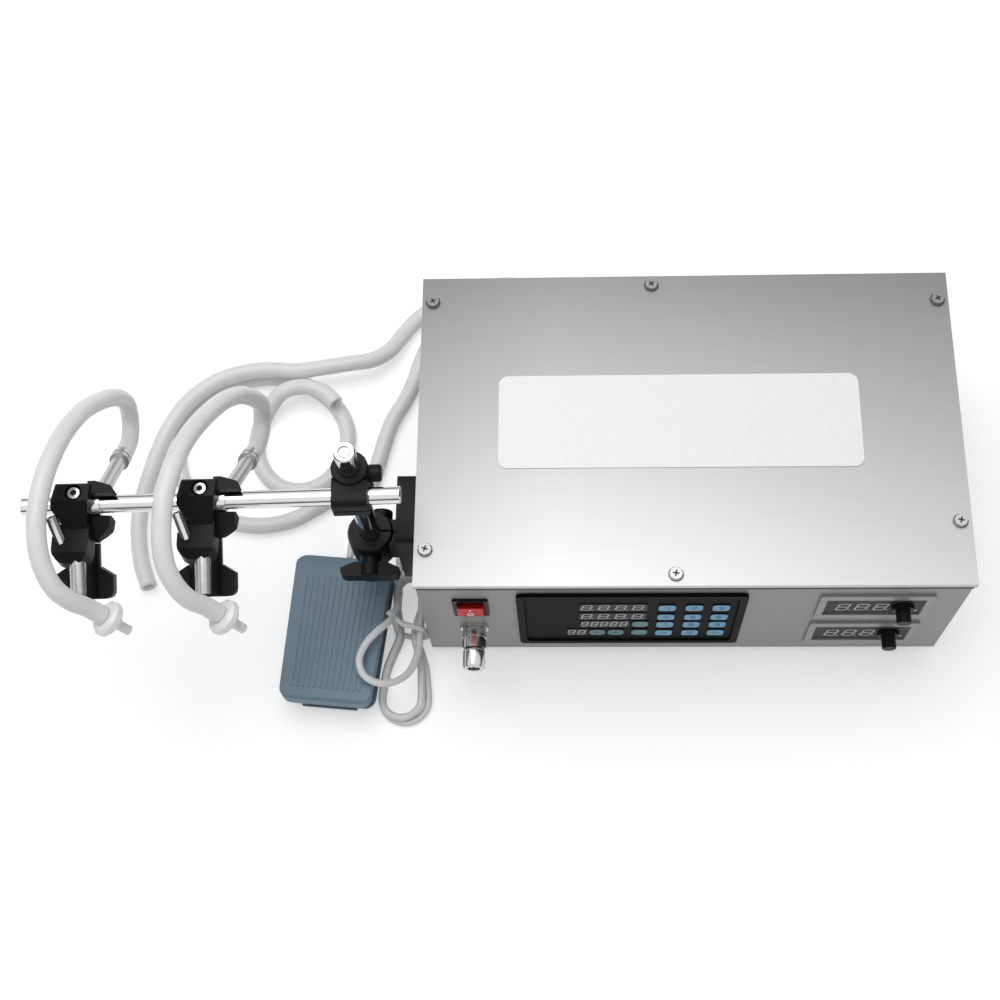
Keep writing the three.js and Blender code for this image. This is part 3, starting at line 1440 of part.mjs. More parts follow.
function buildKnuckle() {
  const width = knuckleRight - knuckleLeft;
  const depth = knuckleBack - knuckleFront + knuckleCorner;
  const plan = floorPlate(roundedShape(width, depth, knuckleCorner), 2 * headBottom, -4 * headBottom);
  plan.translate((knuckleLeft + knuckleRight) / 2, knuckleFront + depth / 2, 0);
  const side = sidePlate(shapeOf(knuckleSide), knuckleLeft - overrun, width + 2 * overrun);
  return solidOf(plan).intersect(solidOf(side));
}

function buildHead(roll) {
  const blockTop = Math.max(...headSide.map(([, z]) => z));
  const body = join(
    shaped(headPlan, headBottom, blockTop, headSide),
    shaped(rearClawPlan, rearClawBottom, rearClawTop),
    shaped(frontClawPlan, 2 * headBottom, -headBottom, frontClawSide),
    buildKnuckle(),
    shaped(webPlan, webBottom, headBottom),
    bar(
      knobStart.clone().addScaledVector(knobBackward, gap), knobBackward,
      stationHubRadius, lugThickness, roundSides,
    ),
  );
  const boreLength = 4 * wingSpan;
  const boreStart = rodCentre.clone().addScaledVector(alongX, -boreLength / 2);
  const bore = bar(boreStart, alongX, bushRadius + gap, boreLength, brightSides);
  const channel = bentBar(nozzleAxis(roll, overrun), nozzleRadius + gap, roundSides);
  const well = bar(
    vector(0, capScrewY, blockTop - capScrewWellDepth), alongZ, capScrewWell,
    capScrewWellDepth + overrun, roundSides,
  );
  const capHole = bar(vector(0, capScrewY, 0), alongZ, capScrewShankRadius + gap, blockTop);
  const start = vector(...pinStart);
  const pinAxis = vector(...pinEnd).sub(start);
  const pinHole = bar(start, pinAxis, pinRadius + gap, pinAxis.length() + gap, smallSides);
  const stemHole = bar(
    knobStart.clone().addScaledVector(nozzleForward, overrun), knobBackward, stemHoleRadius,
    lugThickness + gap + 2 * overrun,
  );
  return cut(body, bore, channel, well, capHole, pinHole, stemHole);
}

function buildBush() {
  const start = rodCentre.clone().addScaledVector(alongX, bushLeft);
  const length = bushRight - bushLeft;
  const ring = cut(
    bar(start, alongX, bushRadius, length, brightSides),
    bar(
      start.clone().addScaledVector(alongX, -overrun), alongX,
      crossRodRadius + gap, length + 2 * overrun, brightSides,
    ),
  );
  const slot = box(
    [bushLeft - overrun, -bushSlot / 2, -bushRadius - overrun], [bushRight + overrun, bushSlot / 2, 0],
  );
  return cut(ring, slot);
}

function buildCapScrew() {
  const blockTop = Math.max(...headSide.map(([, z]) => z));
  const seat = vector(0, capScrewY, blockTop - capScrewWellDepth);
  const shank = seat.z - bushRadius - gap;
  return cut(
    turned(seat, alongZ, [
      [0, -shank], [capScrewShankRadius, -shank], [capScrewShankRadius, 0], [capScrewHeadRadius, 0],
      [capScrewHeadRadius, capScrewHeadHeight - gap], [capScrewHeadRadius - gap, capScrewHeadHeight],
      [0, capScrewHeadHeight],
    ], smallSides),
    bar(
      seat.clone().addScaledVector(alongZ, capScrewHeadHeight - capScrewSocketDepth), alongZ,
      capScrewSocketRadius, capScrewSocketDepth + overrun, hexagon,
    ),
  );
}

function buildPin() {
  const start = vector(...pinStart);
  const axis = vector(...pinEnd).sub(start);
  return cut(
    bar(start, axis, pinRadius, axis.length(), smallSides),
    bar(
      start.clone().addScaledVector(axis.clone().normalize(), -overrun), axis,
      pinSocketRadius, pinSocketDepth + overrun, hexagon,
    ),
  );
}

const stations = stationPlaces.map((x, i) => {
  const station = new THREE.Group();
  station.position.set(x, -crossRodOffset, crossRodZ);
  arm.add(station);
  const head = new THREE.Group();
  head.rotation.x = THREE.MathUtils.degToRad(stationSwings[i]);
  station.add(head);
  const roll = nozzleRolls[i];
  const number = i + 1;
  add(`rod_bush_${number}`, buildBush(), finish.polished, station);
  add(`nozzle_head_${number}`, buildHead(roll), finish.black, head);
  add(`head_screw_${number}`, buildCapScrew(), finish.chrome, head);
  add(`head_pin_${number}`, buildPin(), finish.polished, head);
  add(`wing_knob_${number}`, buildWingKnob(knobStart, nozzleForward, alongX, {
    span: wingSpan, wingDepth: wingLength, hubLength: stationHubLength, hubRadius: stationHubRadius,
    stemLength: stationStemLength, thickness: wingThickness, corner: wingCorner,
  }), finish.black, head);
  add(`nozzle_${number}`, buildNozzle(roll), finish.steel, head);
  return head;
});

// Nozzle hoses and the plastic fittings on their ends

machine.updateMatrixWorld(true);

function nozzleHosePoints(i) {
  const rearward = nozzleRearward(nozzleRolls[i]);
  const rear = corner.clone().addScaledVector(rearward, nozzleRearLength + gap);
  const straight = rear.clone().addScaledVector(rearward, 2 * hoseRadius);
  const route = vectors(nozzleHoseRoutes[i]);
  return [stations[i].localToWorld(rear), stations[i].localToWorld(straight), ...route];
}

function buildHoseTip(i) {
  const points = nozzleHosePoints(i);
  const axis = vector(...tipDirections[i]).normalize();
  const end = points[points.length - 1].clone().addScaledVector(axis, 2 * hoseRadius + gap);
  const capEnd = tipCapLength;
  const coneEnd = capEnd + tipConeLength;
  const spoutEnd = coneEnd + tipSpoutLength;
  const body = turned(end, axis, [
    [0, 0], [tipCapRadius - tipCapRound, 0], [tipCapRadius, tipCapRound],
    [tipCapRadius, capEnd - tipCapRound], [tipCapRadius - tipCapRound, capEnd], [tipConeRadius, capEnd],
    [tipSpoutRadius, coneEnd], [tipSpoutRadius, spoutEnd], [0, spoutEnd],
  ]);
  const bore = bar(end.clone().addScaledVector(axis, coneEnd), axis, tipBore, tipSpoutLength + overrun);
  return cut(body, bore);
}

function buildNozzleHose(i) {
  const points = nozzleHosePoints(i);
  const axis = vector(...tipDirections[i]).normalize();
  const end = points[points.length - 1].clone().addScaledVector(axis, 2 * hoseRadius);
  return tube([...points, end], hoseRadius, hoseSides, nozzleHoseSteps);
}

stationPlaces.forEach((_, i) => {
  add(`nozzle_hose_${i + 1}`, buildNozzleHose(i), finish.hose);
  add(`hose_tip_${i + 1}`, buildHoseTip(i), finish.clear);
});

// Supply hoses from the left pump's ports, one of them coiled on the floor

const portEndY = headBackY + portNutLength + portLength + gap;

function portHosePoints(x, route) {
  const exit = vector(x, portEndY, pumpAxisZ);
  const straight = vector(x, portEndY + 2 * hoseRadius, pumpAxisZ);
  return [exit, straight, ...vectors(route)];
}

// One turn a little wider than the next, as a hose thrown down in a ring lies
function coilPoints() {
  const share = (angle, [from, to]) => THREE.MathUtils.smoothstep(angle, from, to);
  const count = Math.round((coilEnd - coilStart) / coilStep);
  return Array.from({ length: count + 1 }, (_, i) => {
    const turned = coilStart + i * coilStep;
    const narrow = share(turned, coilNarrowing);
    const [x, y, across, deep] = coilOuterTurn.map((wide, k) => wide + narrow * (coilInnerTurn[k] - wide));
    const angle = THREE.MathUtils.degToRad(-turned);
    const z = hoseRadius + coilClimbHeight * share(turned, coilClimb);
    return vector(x + across * Math.cos(angle), y + deep * Math.sin(angle), z);
  });
}

const coil = coilPoints();
const coilIn = coil[1].clone().sub(coil[0]).normalize();
const coilEntry = coil[0].clone().addScaledVector(coilIn, -gap);
const coilBefore = coil[0].clone().addScaledVector(coilIn, -2 * hoseRadius);
console.log(`hose coil: least gap ${leastGap(coil, hoseRadius, 90 / coilStep).toFixed(2)} mm`);

add('supply_hose_1', tube(
  [...portHosePoints(portXs[0], coiledHoseRoute), coilBefore, coilEntry],
  hoseRadius, supplyHoseSides, supplyHoseSteps,
), finish.hose);
add('supply_coil', bentBar(coil, hoseRadius, coilSides, alongZ), finish.hose);
add('supply_hose_2', tube(
  [...portHosePoints(portXs[1], straightHoseRoute), vector(...straightHoseEnd)],
  hoseRadius, supplyHoseSides, longHoseSteps,
), finish.hose);

// Foot pedal, built about its own middle and set at an angle on the floor

const pedal = new THREE.Group();
pedal.position.set(pedalX, pedalY, 0);
pedal.rotation.z = THREE.MathUtils.degToRad(pedalTurn);
machine.add(pedal);

const pinY = pedalDepth / 2 - pedalPinInset;
const lugX = pedalWidth / 2 - treadleWall - gap - pedalLugWidth;
const switchTopZ = pedalBaseWall + plungerSwitchHeight;

function buildPedalBase() {
  const width = pedalWidth - 2 * treadleWall - 2 * runningGap;
  const depth = pedalDepth - 2 * treadleWall - 2 * runningGap;
  const foot = floorPlate(
    roundedShape(pedalWidth, pedalDepth - pedalFrontInset, pedalCorner), 0, pedalBaseWall,
  );
  foot.translate(0, pedalFrontInset / 2, 0);
  const wall = floorPlate(roundedShape(width, depth - pedalFrontInset, pedalCorner), 0, pedalBaseHeight);
  wall.translate(0, pedalFrontInset / 2, 0);
  const well = floorPlate(
    roundedShape(
      width - 2 * pedalBaseWall, depth - pedalFrontInset - 2 * pedalBaseWall, pedalCorner - pedalBaseWall,
    ),
    pedalBaseWall, pedalBaseHeight,
  );
  well.translate(0, pedalFrontInset / 2, 0);
  const lip = floorPlate(
    roundedShape(pedalLipWidth, 2 * pedalLipProud, pedalLipProud / 2), 0, pedalBaseWall,
  );
  lip.translate(0, pedalFrontInset - pedalDepth / 2, 0);
  const lugs = [-lugX - pedalLugWidth, lugX].map((x) => join(
    box(
      [x, pinY - pedalLugRadius, pedalBaseWall - gap],
      [x + pedalLugWidth, pinY + pedalLugRadius, pedalPinZ],
    ),
    bar(vector(x, pinY, pedalPinZ), alongX, pedalLugRadius, pedalLugWidth, smallSides),
  ));
  const pinHole = bar(
    vector(-pedalWidth / 2, pinY, pedalPinZ), alongX, pedalPinRadius + runningGap, pedalWidth,
  );
  const relief = turned(vector(0, depth / 2 - overrun, pedalBaseHeight / 2 + pedalBaseWall), alongY, [
    [0, 0], [reliefRadius, 0], [reliefRadius, overrun + reliefLength / 3],
    [cableRadius * 1.2, overrun + reliefLength], [0, overrun + reliefLength],
  ], smallSides);
  const walls = cut(join(solidOf(foot), solidOf(wall)), solidOf(well));
  return join(cut(join(walls, ...lugs), pinHole), solidOf(lip), relief);
}

function buildTreadle() {
  const front = -pedalDepth / 2;
  const back = pedalDepth / 2;
  const bottomZ = treadleFrontZ - treadleSkirt;
  const rearBottomZ = pedalBaseHeight + runningGap * 2;
  const outline = shapeOf([
    [front, bottomZ], [front, treadleFrontZ - treadleWall], [front + treadleWall, treadleFrontZ],
    [back - pedalCorner, treadleRearZ], [back, treadleRearZ - pedalCorner / 2], [back, rearBottomZ],
    [back - treadleWall, rearBottomZ],
  ]);
  const slab = solidOf(sidePlate(outline, -pedalWidth / 2, pedalWidth));
  const plan = floorPlate(roundedShape(pedalWidth, pedalDepth, pedalCorner), 0, 2 * treadleFrontZ);
  const hollowOutline = shapeOf([
    [front + treadleWall, -overrun], [front + treadleWall, treadleFrontZ - 2 * treadleWall],
    [back - pedalCorner, treadleRearZ - treadleWall],
    [back - treadleWall, treadleRearZ - pedalCorner / 2 - treadleWall],
    [back - treadleWall, -overrun],
  ]);
  const innerX = pedalWidth / 2 - treadleWall;
  const hollow = solidOf(sidePlate(hollowOutline, -innerX, 2 * innerX));
  const stubLength = innerX + overrun - lugX;
  const stubs = [-innerX - overrun, lugX].map((x) => (
    bar(vector(x, pinY, pedalPinZ), alongX, pedalPinRadius, stubLength)
  ));
  const ribs = [];
  const ribPitch = (pedalWidth - 2 * treadleMargin) / (treadleRibCount - 1);
  const slope = (treadleRearZ - treadleFrontZ) / (back - pedalCorner - front - treadleWall);
  for (let i = 0; i < treadleRibCount; i += 1) {
    const x = -pedalWidth / 2 + treadleMargin + i * ribPitch;
    const from = front + treadleMargin;
    const to = back - pedalCorner - treadleMargin;
    const zAt = (y) => treadleFrontZ + slope * (y - front - treadleWall);
    const side = shapeOf([
      [from, zAt(from) - gap], [to, zAt(to) - gap],
      [to - treadleRibHeight, zAt(to) + treadleRibHeight],
      [from + treadleRibHeight, zAt(from) + treadleRibHeight],
    ]);
    ribs.push(solidOf(sidePlate(side, x - treadleRibWidth / 2, treadleRibWidth)));
  }
  const shell = cut(slab.intersect(solidOf(plan)), hollow);
  const cableNotch = box(
    [-reliefRadius - runningGap, back - 2 * treadleWall, rearBottomZ - overrun],
    [reliefRadius + runningGap, back + overrun, pedalBaseHeight + reliefRadius],
  );
  const skirtTop = box([-innerX, front + treadleWall, 0], [innerX, back - treadleWall, rearBottomZ]);
  return join(cut(join(shell, ...ribs), cableNotch, skirtTop), ...stubs);
}

function springPoints(low, high) {
  const count = springTurns * springStepsPerTurn;
  return Array.from({ length: count + 1 }, (_, i) => {
    const angle = (i / springStepsPerTurn) * 2 * Math.PI;
    return vector(
      springX + springRadius * Math.cos(angle), springY + springRadius * Math.sin(angle),
      low + ((high - low) * i) / count,
    );
  });
}

function treadleUnderZ(y) {
  const front = -pedalDepth / 2 + treadleWall;
  const rear = pedalDepth / 2 - pedalCorner;
  const share = (y - front) / (rear - front);
  return treadleFrontZ - 2 * treadleWall + share * (treadleRearZ - treadleFrontZ + treadleWall);
}

function buildPlungerSwitch() {
  const body = box(
    [-plungerSwitchWidth / 2, plungerSwitchY - plungerSwitchDepth / 2, pedalBaseWall],
    [plungerSwitchWidth / 2, plungerSwitchY + plungerSwitchDepth / 2, switchTopZ],
  );
  const plunger = bar(
    vector(0, plungerSwitchY, switchTopZ - gap), alongZ, plungerRadius, plungerHeight + gap,
  );
  return join(body, plunger);
}

const springLow = pedalBaseWall + springWire + gap;
const springHigh = treadleUnderZ(springY) - springWire - 2 * gap;
const spring = springPoints(springLow, springHigh);

function tapered(solid) {
  return solid.warp((point) => {
    point[0] *= 1 + pedalTaper * point[1];
  });
}

add('pedal_base', tapered(buildPedalBase()), finish.pedal, pedal);
add('pedal_treadle', tapered(buildTreadle()), finish.pedal, pedal);
add('pedal_spring', bentBar(spring, springWire, springSides, alongZ), finish.polished, pedal);
add('pedal_switch', buildPlungerSwitch(), finish.black, pedal);

// Pedal cable: the lead, a tied hank on the floor, and the tail that runs to the rear gland

// A loop has a round fold at each end and two runs between them, drawn in at the tie
function hankPoint(turned, climbed) {
  const [topX, topY, topRadius] = hankTop;
  const [outerX, bottomY, outerRadius] = hankBottom;
  const bottomX = outerX - hankNest * climbed;
  const bottomRadius = outerRadius - hankNest * climbed;
  const loopTurned = ((turned % 360) + 360) % 360;
  const halfFold = hankFoldDegrees / 2;
  const runDegrees = 180 - hankFoldDegrees;
  const side = loopTurned < 180 ? -1 : 1;
  const fromTop = loopTurned < 180 ? loopTurned : 360 - loopTurned;
  if (fromTop < halfFold) {
    const angle = (fromTop / halfFold) * (Math.PI / 2);
    return [topX + side * topRadius * Math.sin(angle), topY + topRadius * Math.cos(angle)];
  }
  if (fromTop > 180 - halfFold) {
    const angle = ((180 - fromTop) / halfFold) * (Math.PI / 2);
    return [bottomX + side * bottomRadius * Math.sin(angle), bottomY - bottomRadius * Math.cos(angle)];
  }
  const share = (fromTop - halfFold) / runDegrees;
  const y = topY + share * (bottomY - topY);
  const waist = Math.exp(-(((y - hankWaistY) / hankWaistSpread) ** 2));
  const half = topRadius + share * (bottomRadius - topRadius);
  const x = topX + share * (bottomX - topX) + side * half * (1 - hankWaistShare * waist);
  return [x, y];
}

function hankPoints() {
  const count = hankLoops * hankStepsPerLoop;
  return Array.from({ length: count + 1 }, (_, i) => {
    const turned = hankStart + (i * 360) / hankStepsPerLoop;
    const loop = Math.floor((turned - hankClimbStart) / 360);
    const climb = THREE.MathUtils.smoothstep(turned - hankClimbStart - 360 * loop, 0, hankClimb);
    const climbed = loop + climb;
    const [x, y] = hankPoint(turned, climbed);
    return vector(x, y, cableRadius + hankPitch * climbed + gap / 2);
  });
}

const hank = hankPoints();
console.log(`cable hank: least gap ${leastGap(hank, cableRadius, hankStepsPerLoop / 4).toFixed(2)} mm`);
const hankIn = hank[1].clone().sub(hank[0]).normalize();
const hankOut = hank[hank.length - 1].clone().sub(hank[hank.length - 2]).normalize();
const leadEnd = hank[0].clone().addScaledVector(hankIn, -gap);
const leadBefore = hank[0].clone().addScaledVector(hankIn, -2 * cableRadius);
const tailStart = hank[hank.length - 1].clone().addScaledVector(hankOut, gap);
const tailAfter = hank[hank.length - 1].clone().addScaledVector(hankOut, 2 * cableRadius);

pedal.updateMatrixWorld(true);
const reliefEnd = (pedalDepth - 2 * treadleWall - 2 * runningGap) / 2 + reliefLength + gap;
const leadZ = pedalBaseHeight / 2 + pedalBaseWall;
const leadStart = pedal.localToWorld(vector(0, reliefEnd, leadZ));
const leadNext = pedal.localToWorld(vector(0, reliefEnd + 2 * cableRadius, leadZ));
const glandEnd = vector(glandX, backY + glandNutDepth + glandDomeDepth + gap, glandZ);
const glandBefore = vector(glandX, glandEnd.y + 2 * cableRadius, glandZ);

const leadTube = tube(
  [leadStart, leadNext, ...vectors(leadRoute), leadBefore, leadEnd], cableRadius, cableSides, leadSteps,
);
const tailTube = tube(
  [tailStart, tailAfter, ...vectors(tailRoute), glandBefore, glandEnd], cableRadius, cableSides, tailSteps,
);
add('pedal_lead', leadTube, finish.cable);
add('machine_lead', tailTube, finish.cable);
add('cable_hank', bentBar(hank, cableRadius, hankSides, alongZ), finish.cable);

// The origin: on the floor, in the middle of the machine without its cords

const cords = [
  'nozzle_hose_1', 'nozzle_hose_2', 'hose_tip_1', 'hose_tip_2', 'supply_hose_1', 'supply_coil',
  'supply_hose_2', 'pedal_lead', 'machine_lead', 'cable_hank',
];
machine.updateMatrixWorld(true);
const extent = new THREE.Box3();
machine.traverse((child) => {
  if (child.isMesh && !cords.includes(child.name)) extent.expandByObject(child, true);
});
const middle = extent.getCenter(vector(0, 0, 0));
machine.position.set(-middle.x, -middle.y, 0);

const part = new THREE.Group();
part.add(machine);

export default part;
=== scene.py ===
import json
import math
import bpy
import bmesh
from mathutils import Matrix, Vector
from mathutils.bvhtree import BVHTree


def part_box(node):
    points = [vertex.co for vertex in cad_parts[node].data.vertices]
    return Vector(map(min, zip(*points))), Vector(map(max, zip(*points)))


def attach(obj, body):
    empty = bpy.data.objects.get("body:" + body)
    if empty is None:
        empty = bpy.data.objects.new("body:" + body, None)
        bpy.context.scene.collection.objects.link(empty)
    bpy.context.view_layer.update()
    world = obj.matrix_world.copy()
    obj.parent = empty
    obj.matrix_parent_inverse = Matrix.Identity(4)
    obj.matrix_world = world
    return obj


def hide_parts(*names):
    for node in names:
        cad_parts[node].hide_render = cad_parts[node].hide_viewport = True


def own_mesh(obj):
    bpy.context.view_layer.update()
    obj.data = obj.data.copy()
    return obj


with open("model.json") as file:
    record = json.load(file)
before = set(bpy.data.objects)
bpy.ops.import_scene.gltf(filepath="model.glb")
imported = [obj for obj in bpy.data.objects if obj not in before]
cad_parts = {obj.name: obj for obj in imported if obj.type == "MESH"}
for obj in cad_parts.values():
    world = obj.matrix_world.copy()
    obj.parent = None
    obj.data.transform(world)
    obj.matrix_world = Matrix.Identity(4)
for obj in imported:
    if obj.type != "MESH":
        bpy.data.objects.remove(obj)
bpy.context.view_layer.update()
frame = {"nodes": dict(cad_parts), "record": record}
NODES = frame["nodes"]

# Lengths below are in millimetres, in the frame of part.mjs, and place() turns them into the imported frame
SHIFT = (130.46147, 13.18243, 0)


def place(x, y, z):
    return Vector(((x + SHIFT[0]) / 1000, (y + SHIFT[1]) / 1000, z / 1000))


# Camera

CAMERA_AT = (-78.33, -481.80, 1171.50)
LENS, SENSOR_WIDTH, FAR_CLIP = 57.51, 36, 20
AZIMUTH, ELEVATION, ROLL = (math.radians(v) for v in (7.0756, 67.2086, -6.8655))
back = Vector((
    math.sin(AZIMUTH) * math.cos(ELEVATION), -math.cos(AZIMUTH) * math.cos(ELEVATION), math.sin(ELEVATION),
))
level = (-back).cross(Vector((0, 0, 1))).normalized()
above = level.cross(-back)
right = math.cos(ROLL) * level + math.sin(ROLL) * above
up = math.cos(ROLL) * above - math.sin(ROLL) * level
camera_data = bpy.data.cameras.new("camera")
camera_data.lens = LENS
camera_data.sensor_width = SENSOR_WIDTH
camera_data.clip_end = FAR_CLIP
camera = bpy.data.objects.new("camera", camera_data)
turn = Matrix((right, up, back)).transposed().to_4x4()
camera.matrix_world = Matrix.Translation(place(*CAMERA_AT)) @ turn
bpy.context.scene.collection.objects.link(camera)
bpy.context.scene.camera = camera


# Materials

def shader(name, color, roughness, metallic=0.0, **sockets):
    made = bpy.data.materials.new(name)
    made.use_nodes = True
    bsdf = made.node_tree.nodes["Principled BSDF"]
    bsdf.inputs["Base Color"].default_value = (*color, 1)
    bsdf.inputs["Roughness"].default_value = roughness
    bsdf.inputs["Metallic"].default_value = metallic
    for key, value in sockets.items():
        bsdf.inputs[key.replace("_", " ")].default_value = value
    return made


def grain(made, scale, stretch=(1, 1, 1), bump=0.1, depth=0.0002, tone=0.08, rough=0.08, detail=4):
    """Noise in object space that moves the colour, the roughness and the surface a little"""
    tree = made.node_tree
    new = tree.nodes.new
    bsdf = tree.nodes["Principled BSDF"]
    where = new("ShaderNodeTexCoord")
    scaled = new("ShaderNodeMapping")
    scaled.inputs["Scale"].default_value = stretch
    noise = new("ShaderNodeTexNoise")
    noise.inputs["Scale"].default_value = scale
    noise.inputs["Detail"].default_value = detail
    tree.links.new(where.outputs["Object"], scaled.inputs["Vector"])
    tree.links.new(scaled.outputs["Vector"], noise.inputs["Vector"])
    color = bsdf.inputs["Base Color"].default_value[:3]
    ramp = new("ShaderNodeValToRGB")
    ramp.color_ramp.elements[0].position = 0.3
    ramp.color_ramp.elements[1].position = 0.7
    ramp.color_ramp.elements[0].color = (*[v * (1 - tone) for v in color], 1)
    ramp.color_ramp.elements[1].color = (*[min(1, v * (1 + tone)) for v in color], 1)
    tree.links.new(noise.outputs["Fac"], ramp.inputs["Fac"])
    tree.links.new(ramp.outputs["Color"], bsdf.inputs["Base Color"])
    base = bsdf.inputs["Roughness"].default_value
    spread = new("ShaderNodeMapRange")
    spread.inputs["To Min"].default_value = max(0.02, base - rough)
    spread.inputs["To Max"].default_value = min(1, base + rough)
    tree.links.new(noise.outputs["Fac"], spread.inputs["Value"])
    tree.links.new(spread.outputs["Result"], bsdf.inputs["Roughness"])
    relief = new("ShaderNodeBump")
    relief.inputs["Strength"].default_value = bump
    relief.inputs["Distance"].default_value = depth
    tree.links.new(noise.outputs["Fac"], relief.inputs["Height"])
    tree.links.new(relief.outputs["Normal"], bsdf.inputs["Normal"])
    return made


def painted_sheen(made, axis, low, high, stops):
    """Painted sheen and shade: the colour also runs along one axis of the object, standing in for the light
    the polished sheet reflects
    """
    tree = made.node_tree
    new = tree.nodes.new
    bsdf = tree.nodes["Principled BSDF"]
    grained = bsdf.inputs["Base Color"].links[0].from_socket
    where = new("ShaderNodeTexCoord")
    parts = new("ShaderNodeSeparateXYZ")
    spread = new("ShaderNodeMapRange")
    spread.inputs["From Min"].default_value = low
    spread.inputs["From Max"].default_value = high
    ramp = new("ShaderNodeValToRGB")
    ramp.color_ramp.elements[0].color = (*[stops[0][1]] * 3, 1)
    ramp.color_ramp.elements[1].color = (*[stops[-1][1]] * 3, 1)
    for share, value in stops[1:-1]:
        ramp.color_ramp.elements.new(share).color = (*[value] * 3, 1)
    mixed = new("ShaderNodeMix")
    mixed.data_type = "RGBA"
    mixed.blend_type = "MULTIPLY"
    mixed.inputs["Factor"].default_value = 1
    tree.links.new(where.outputs["Object"], parts.inputs["Vector"])
    tree.links.new(parts.outputs[axis], spread.inputs["Value"])
    tree.links.new(spread.outputs["Result"], ramp.inputs["Fac"])
    tree.links.new(grained, mixed.inputs["A"])
    tree.links.new(ramp.outputs["Color"], mixed.inputs["B"])
    tree.links.new(mixed.outputs["Result"], bsdf.inputs["Base Color"])
    return made


BRUSHED = (3, 260, 260)
lid_sheet = grain(shader("lid_sheet", (0.84, 0.84, 0.84), 0.45, 0.2), 6, BRUSHED, 0.05, 0.0001, 0.03, 0.05)
# Painted sheen and shade on the lid: lighter at the front, darker towards the back and towards both sides
painted_sheen(lid_sheet, "Y", -0.107, 0.133, [(0, 1.0), (0.5, 0.66), (1, 0.37)])
painted_sheen(lid_sheet, "X", -0.06, 0.32, [(0, 0.76), (0.25, 1.0), (0.55, 0.95), (1, 0.82)])
shell_sheet = grain(
    shader("shell_sheet", (0.30, 0.30, 0.30), 0.45, 0.3), 6, BRUSHED, 0.05, 0.0001, 0.035, 0.05,
)
black_plastic = grain(
    shader("black_plastic", (0.005, 0.005, 0.006), 0.42, Specular_IOR_Level=0.16), 900, bump=0.12, tone=0.25,
)
foot_rubber = grain(shader("foot_rubber", (0.02, 0.02, 0.02), 0.75), 700, bump=0.3, tone=0.3)
red_plastic = grain(
    shader("red_plastic", (0.66, 0.022, 0.025), 0.35, Specular_IOR_Level=0.25), 500, bump=0.04, tone=0.08,
)
plated = grain(shader("plated_connector", (0.62, 0.62, 0.60), 0.18, 1.0), 120, bump=0.05, tone=0.05)
gloss_black = grain(
    shader("gloss_frame", (0.005, 0.005, 0.006), 0.5, Specular_IOR_Level=0.04), 200, bump=0.02, tone=0.2,
)
panel_film = grain(
    shader("panel_film", (0.009, 0.009, 0.010), 0.55, Specular_IOR_Level=0.04), 600, bump=0.04, tone=0.2,
)
key_blue = grain(shader("key_blue", (0.075, 0.34, 0.56), 0.35), 600, bump=0.04, tone=0.1)
key_teal = grain(shader("key_teal", (0.03, 0.17, 0.22), 0.35), 600, bump=0.04, tone=0.1)
key_mark = grain(shader("key_mark", (0.012, 0.06, 0.14), 0.5), 400, bump=0.02)
window = grain(
    shader("display_window", (0.035, 0.035, 0.038), 0.4, Specular_IOR_Level=0.08), 150, bump=0.02,
)
segment = grain(shader("display_segment", (0.50, 0.50, 0.51), 0.4), 400, bump=0.02)
# Painted shade: the near-black colour of the lid screws' slots and rings, the line under the lid's edge and
# the head screws' sockets
painted_shade = grain(shader("painted_shade", (0.015, 0.015, 0.016), 0.5), 300, bump=0.02)
white_mark = grain(shader("white_mark", (0.85, 0.85, 0.84), 0.5), 300, bump=0.02, tone=0.03)
silver = grain(shader("silver_plastic", (0.30, 0.30, 0.305), 0.38, 0.25), 500, bump=0.05, tone=0.06)
pump_metal = grain(shader("pump_metal", (0.42, 0.42, 0.43), 0.35, 0.8), 90, bump=0.1)
board_green = grain(shader("board_green", (0.03, 0.16, 0.06), 0.5), 200, bump=0.1, tone=0.2)
rod_steel = grain(
    shader("polished_rod", (0.72, 0.72, 0.72), 0.12, 1.0), 5, (400, 6, 6), 0.03, 0.0001, 0.04, 0.04,
)
nozzle_steel = grain(shader("nozzle_steel", (0.56, 0.56, 0.56), 0.3, 0.85), 200, bump=0.06, tone=0.06)
pedal_plastic = grain(shader("pedal_plastic", (0.148, 0.222, 0.290), 0.5), 700, bump=0.25, tone=0.08)
cable_jacket = grain(shader("cable_jacket", (0.72, 0.725, 0.73), 0.45), 300, bump=0.1, tone=0.05)
label_white = grain(shader("label_white", (0.90, 0.90, 0.91), 0.35), 250, bump=0.03, tone=0.02)
clear_hose = grain(
    shader(
        "clear_hose", (0.97, 0.97, 0.97), 0.3, Subsurface_Weight=0.5, Subsurface_Radius=(1, 1, 1),
        Subsurface_Scale=0.006, Alpha=0.9,
    ),
    60, bump=0.04, tone=0.015,
)
clear_fitting = grain(
    shader(
        "clear_fitting", (0.93, 0.93, 0.93), 0.2, Subsurface_Weight=0.4, Subsurface_Radius=(1, 1, 1),
        Subsurface_Scale=0.004, Alpha=0.88,
    ),
    80, bump=0.05, tone=0.02,
)

SLOTS = {
    "brushed_sheet": shell_sheet, "foot_rubber": foot_rubber, "black_plastic": black_plastic,
    "red_plastic": red_plastic, "plated_connector": plated, "gloss_frame": gloss_black,
    "blue_overlay": panel_film, "silver_plastic": silver, "pump_metal": pump_metal,
    "board_green": board_green, "polished_rod": rod_steel, "nozzle_steel": nozzle_steel,
    "clear_hose": clear_hose, "clear_fitting": clear_fitting, "pedal_plastic": pedal_plastic,
    "cable_jacket": cable_jacket,
}


def paint(obj, made):
    if not obj.material_slots:
        obj.data.materials.append(made)
    for place_of in obj.material_slots:
        place_of.material = made


for part in frame["record"]["subparts"]:
    paint(NODES[part["node"]], SLOTS[part["material_slot"]])
paint(NODES["top_cover"], lid_sheet)


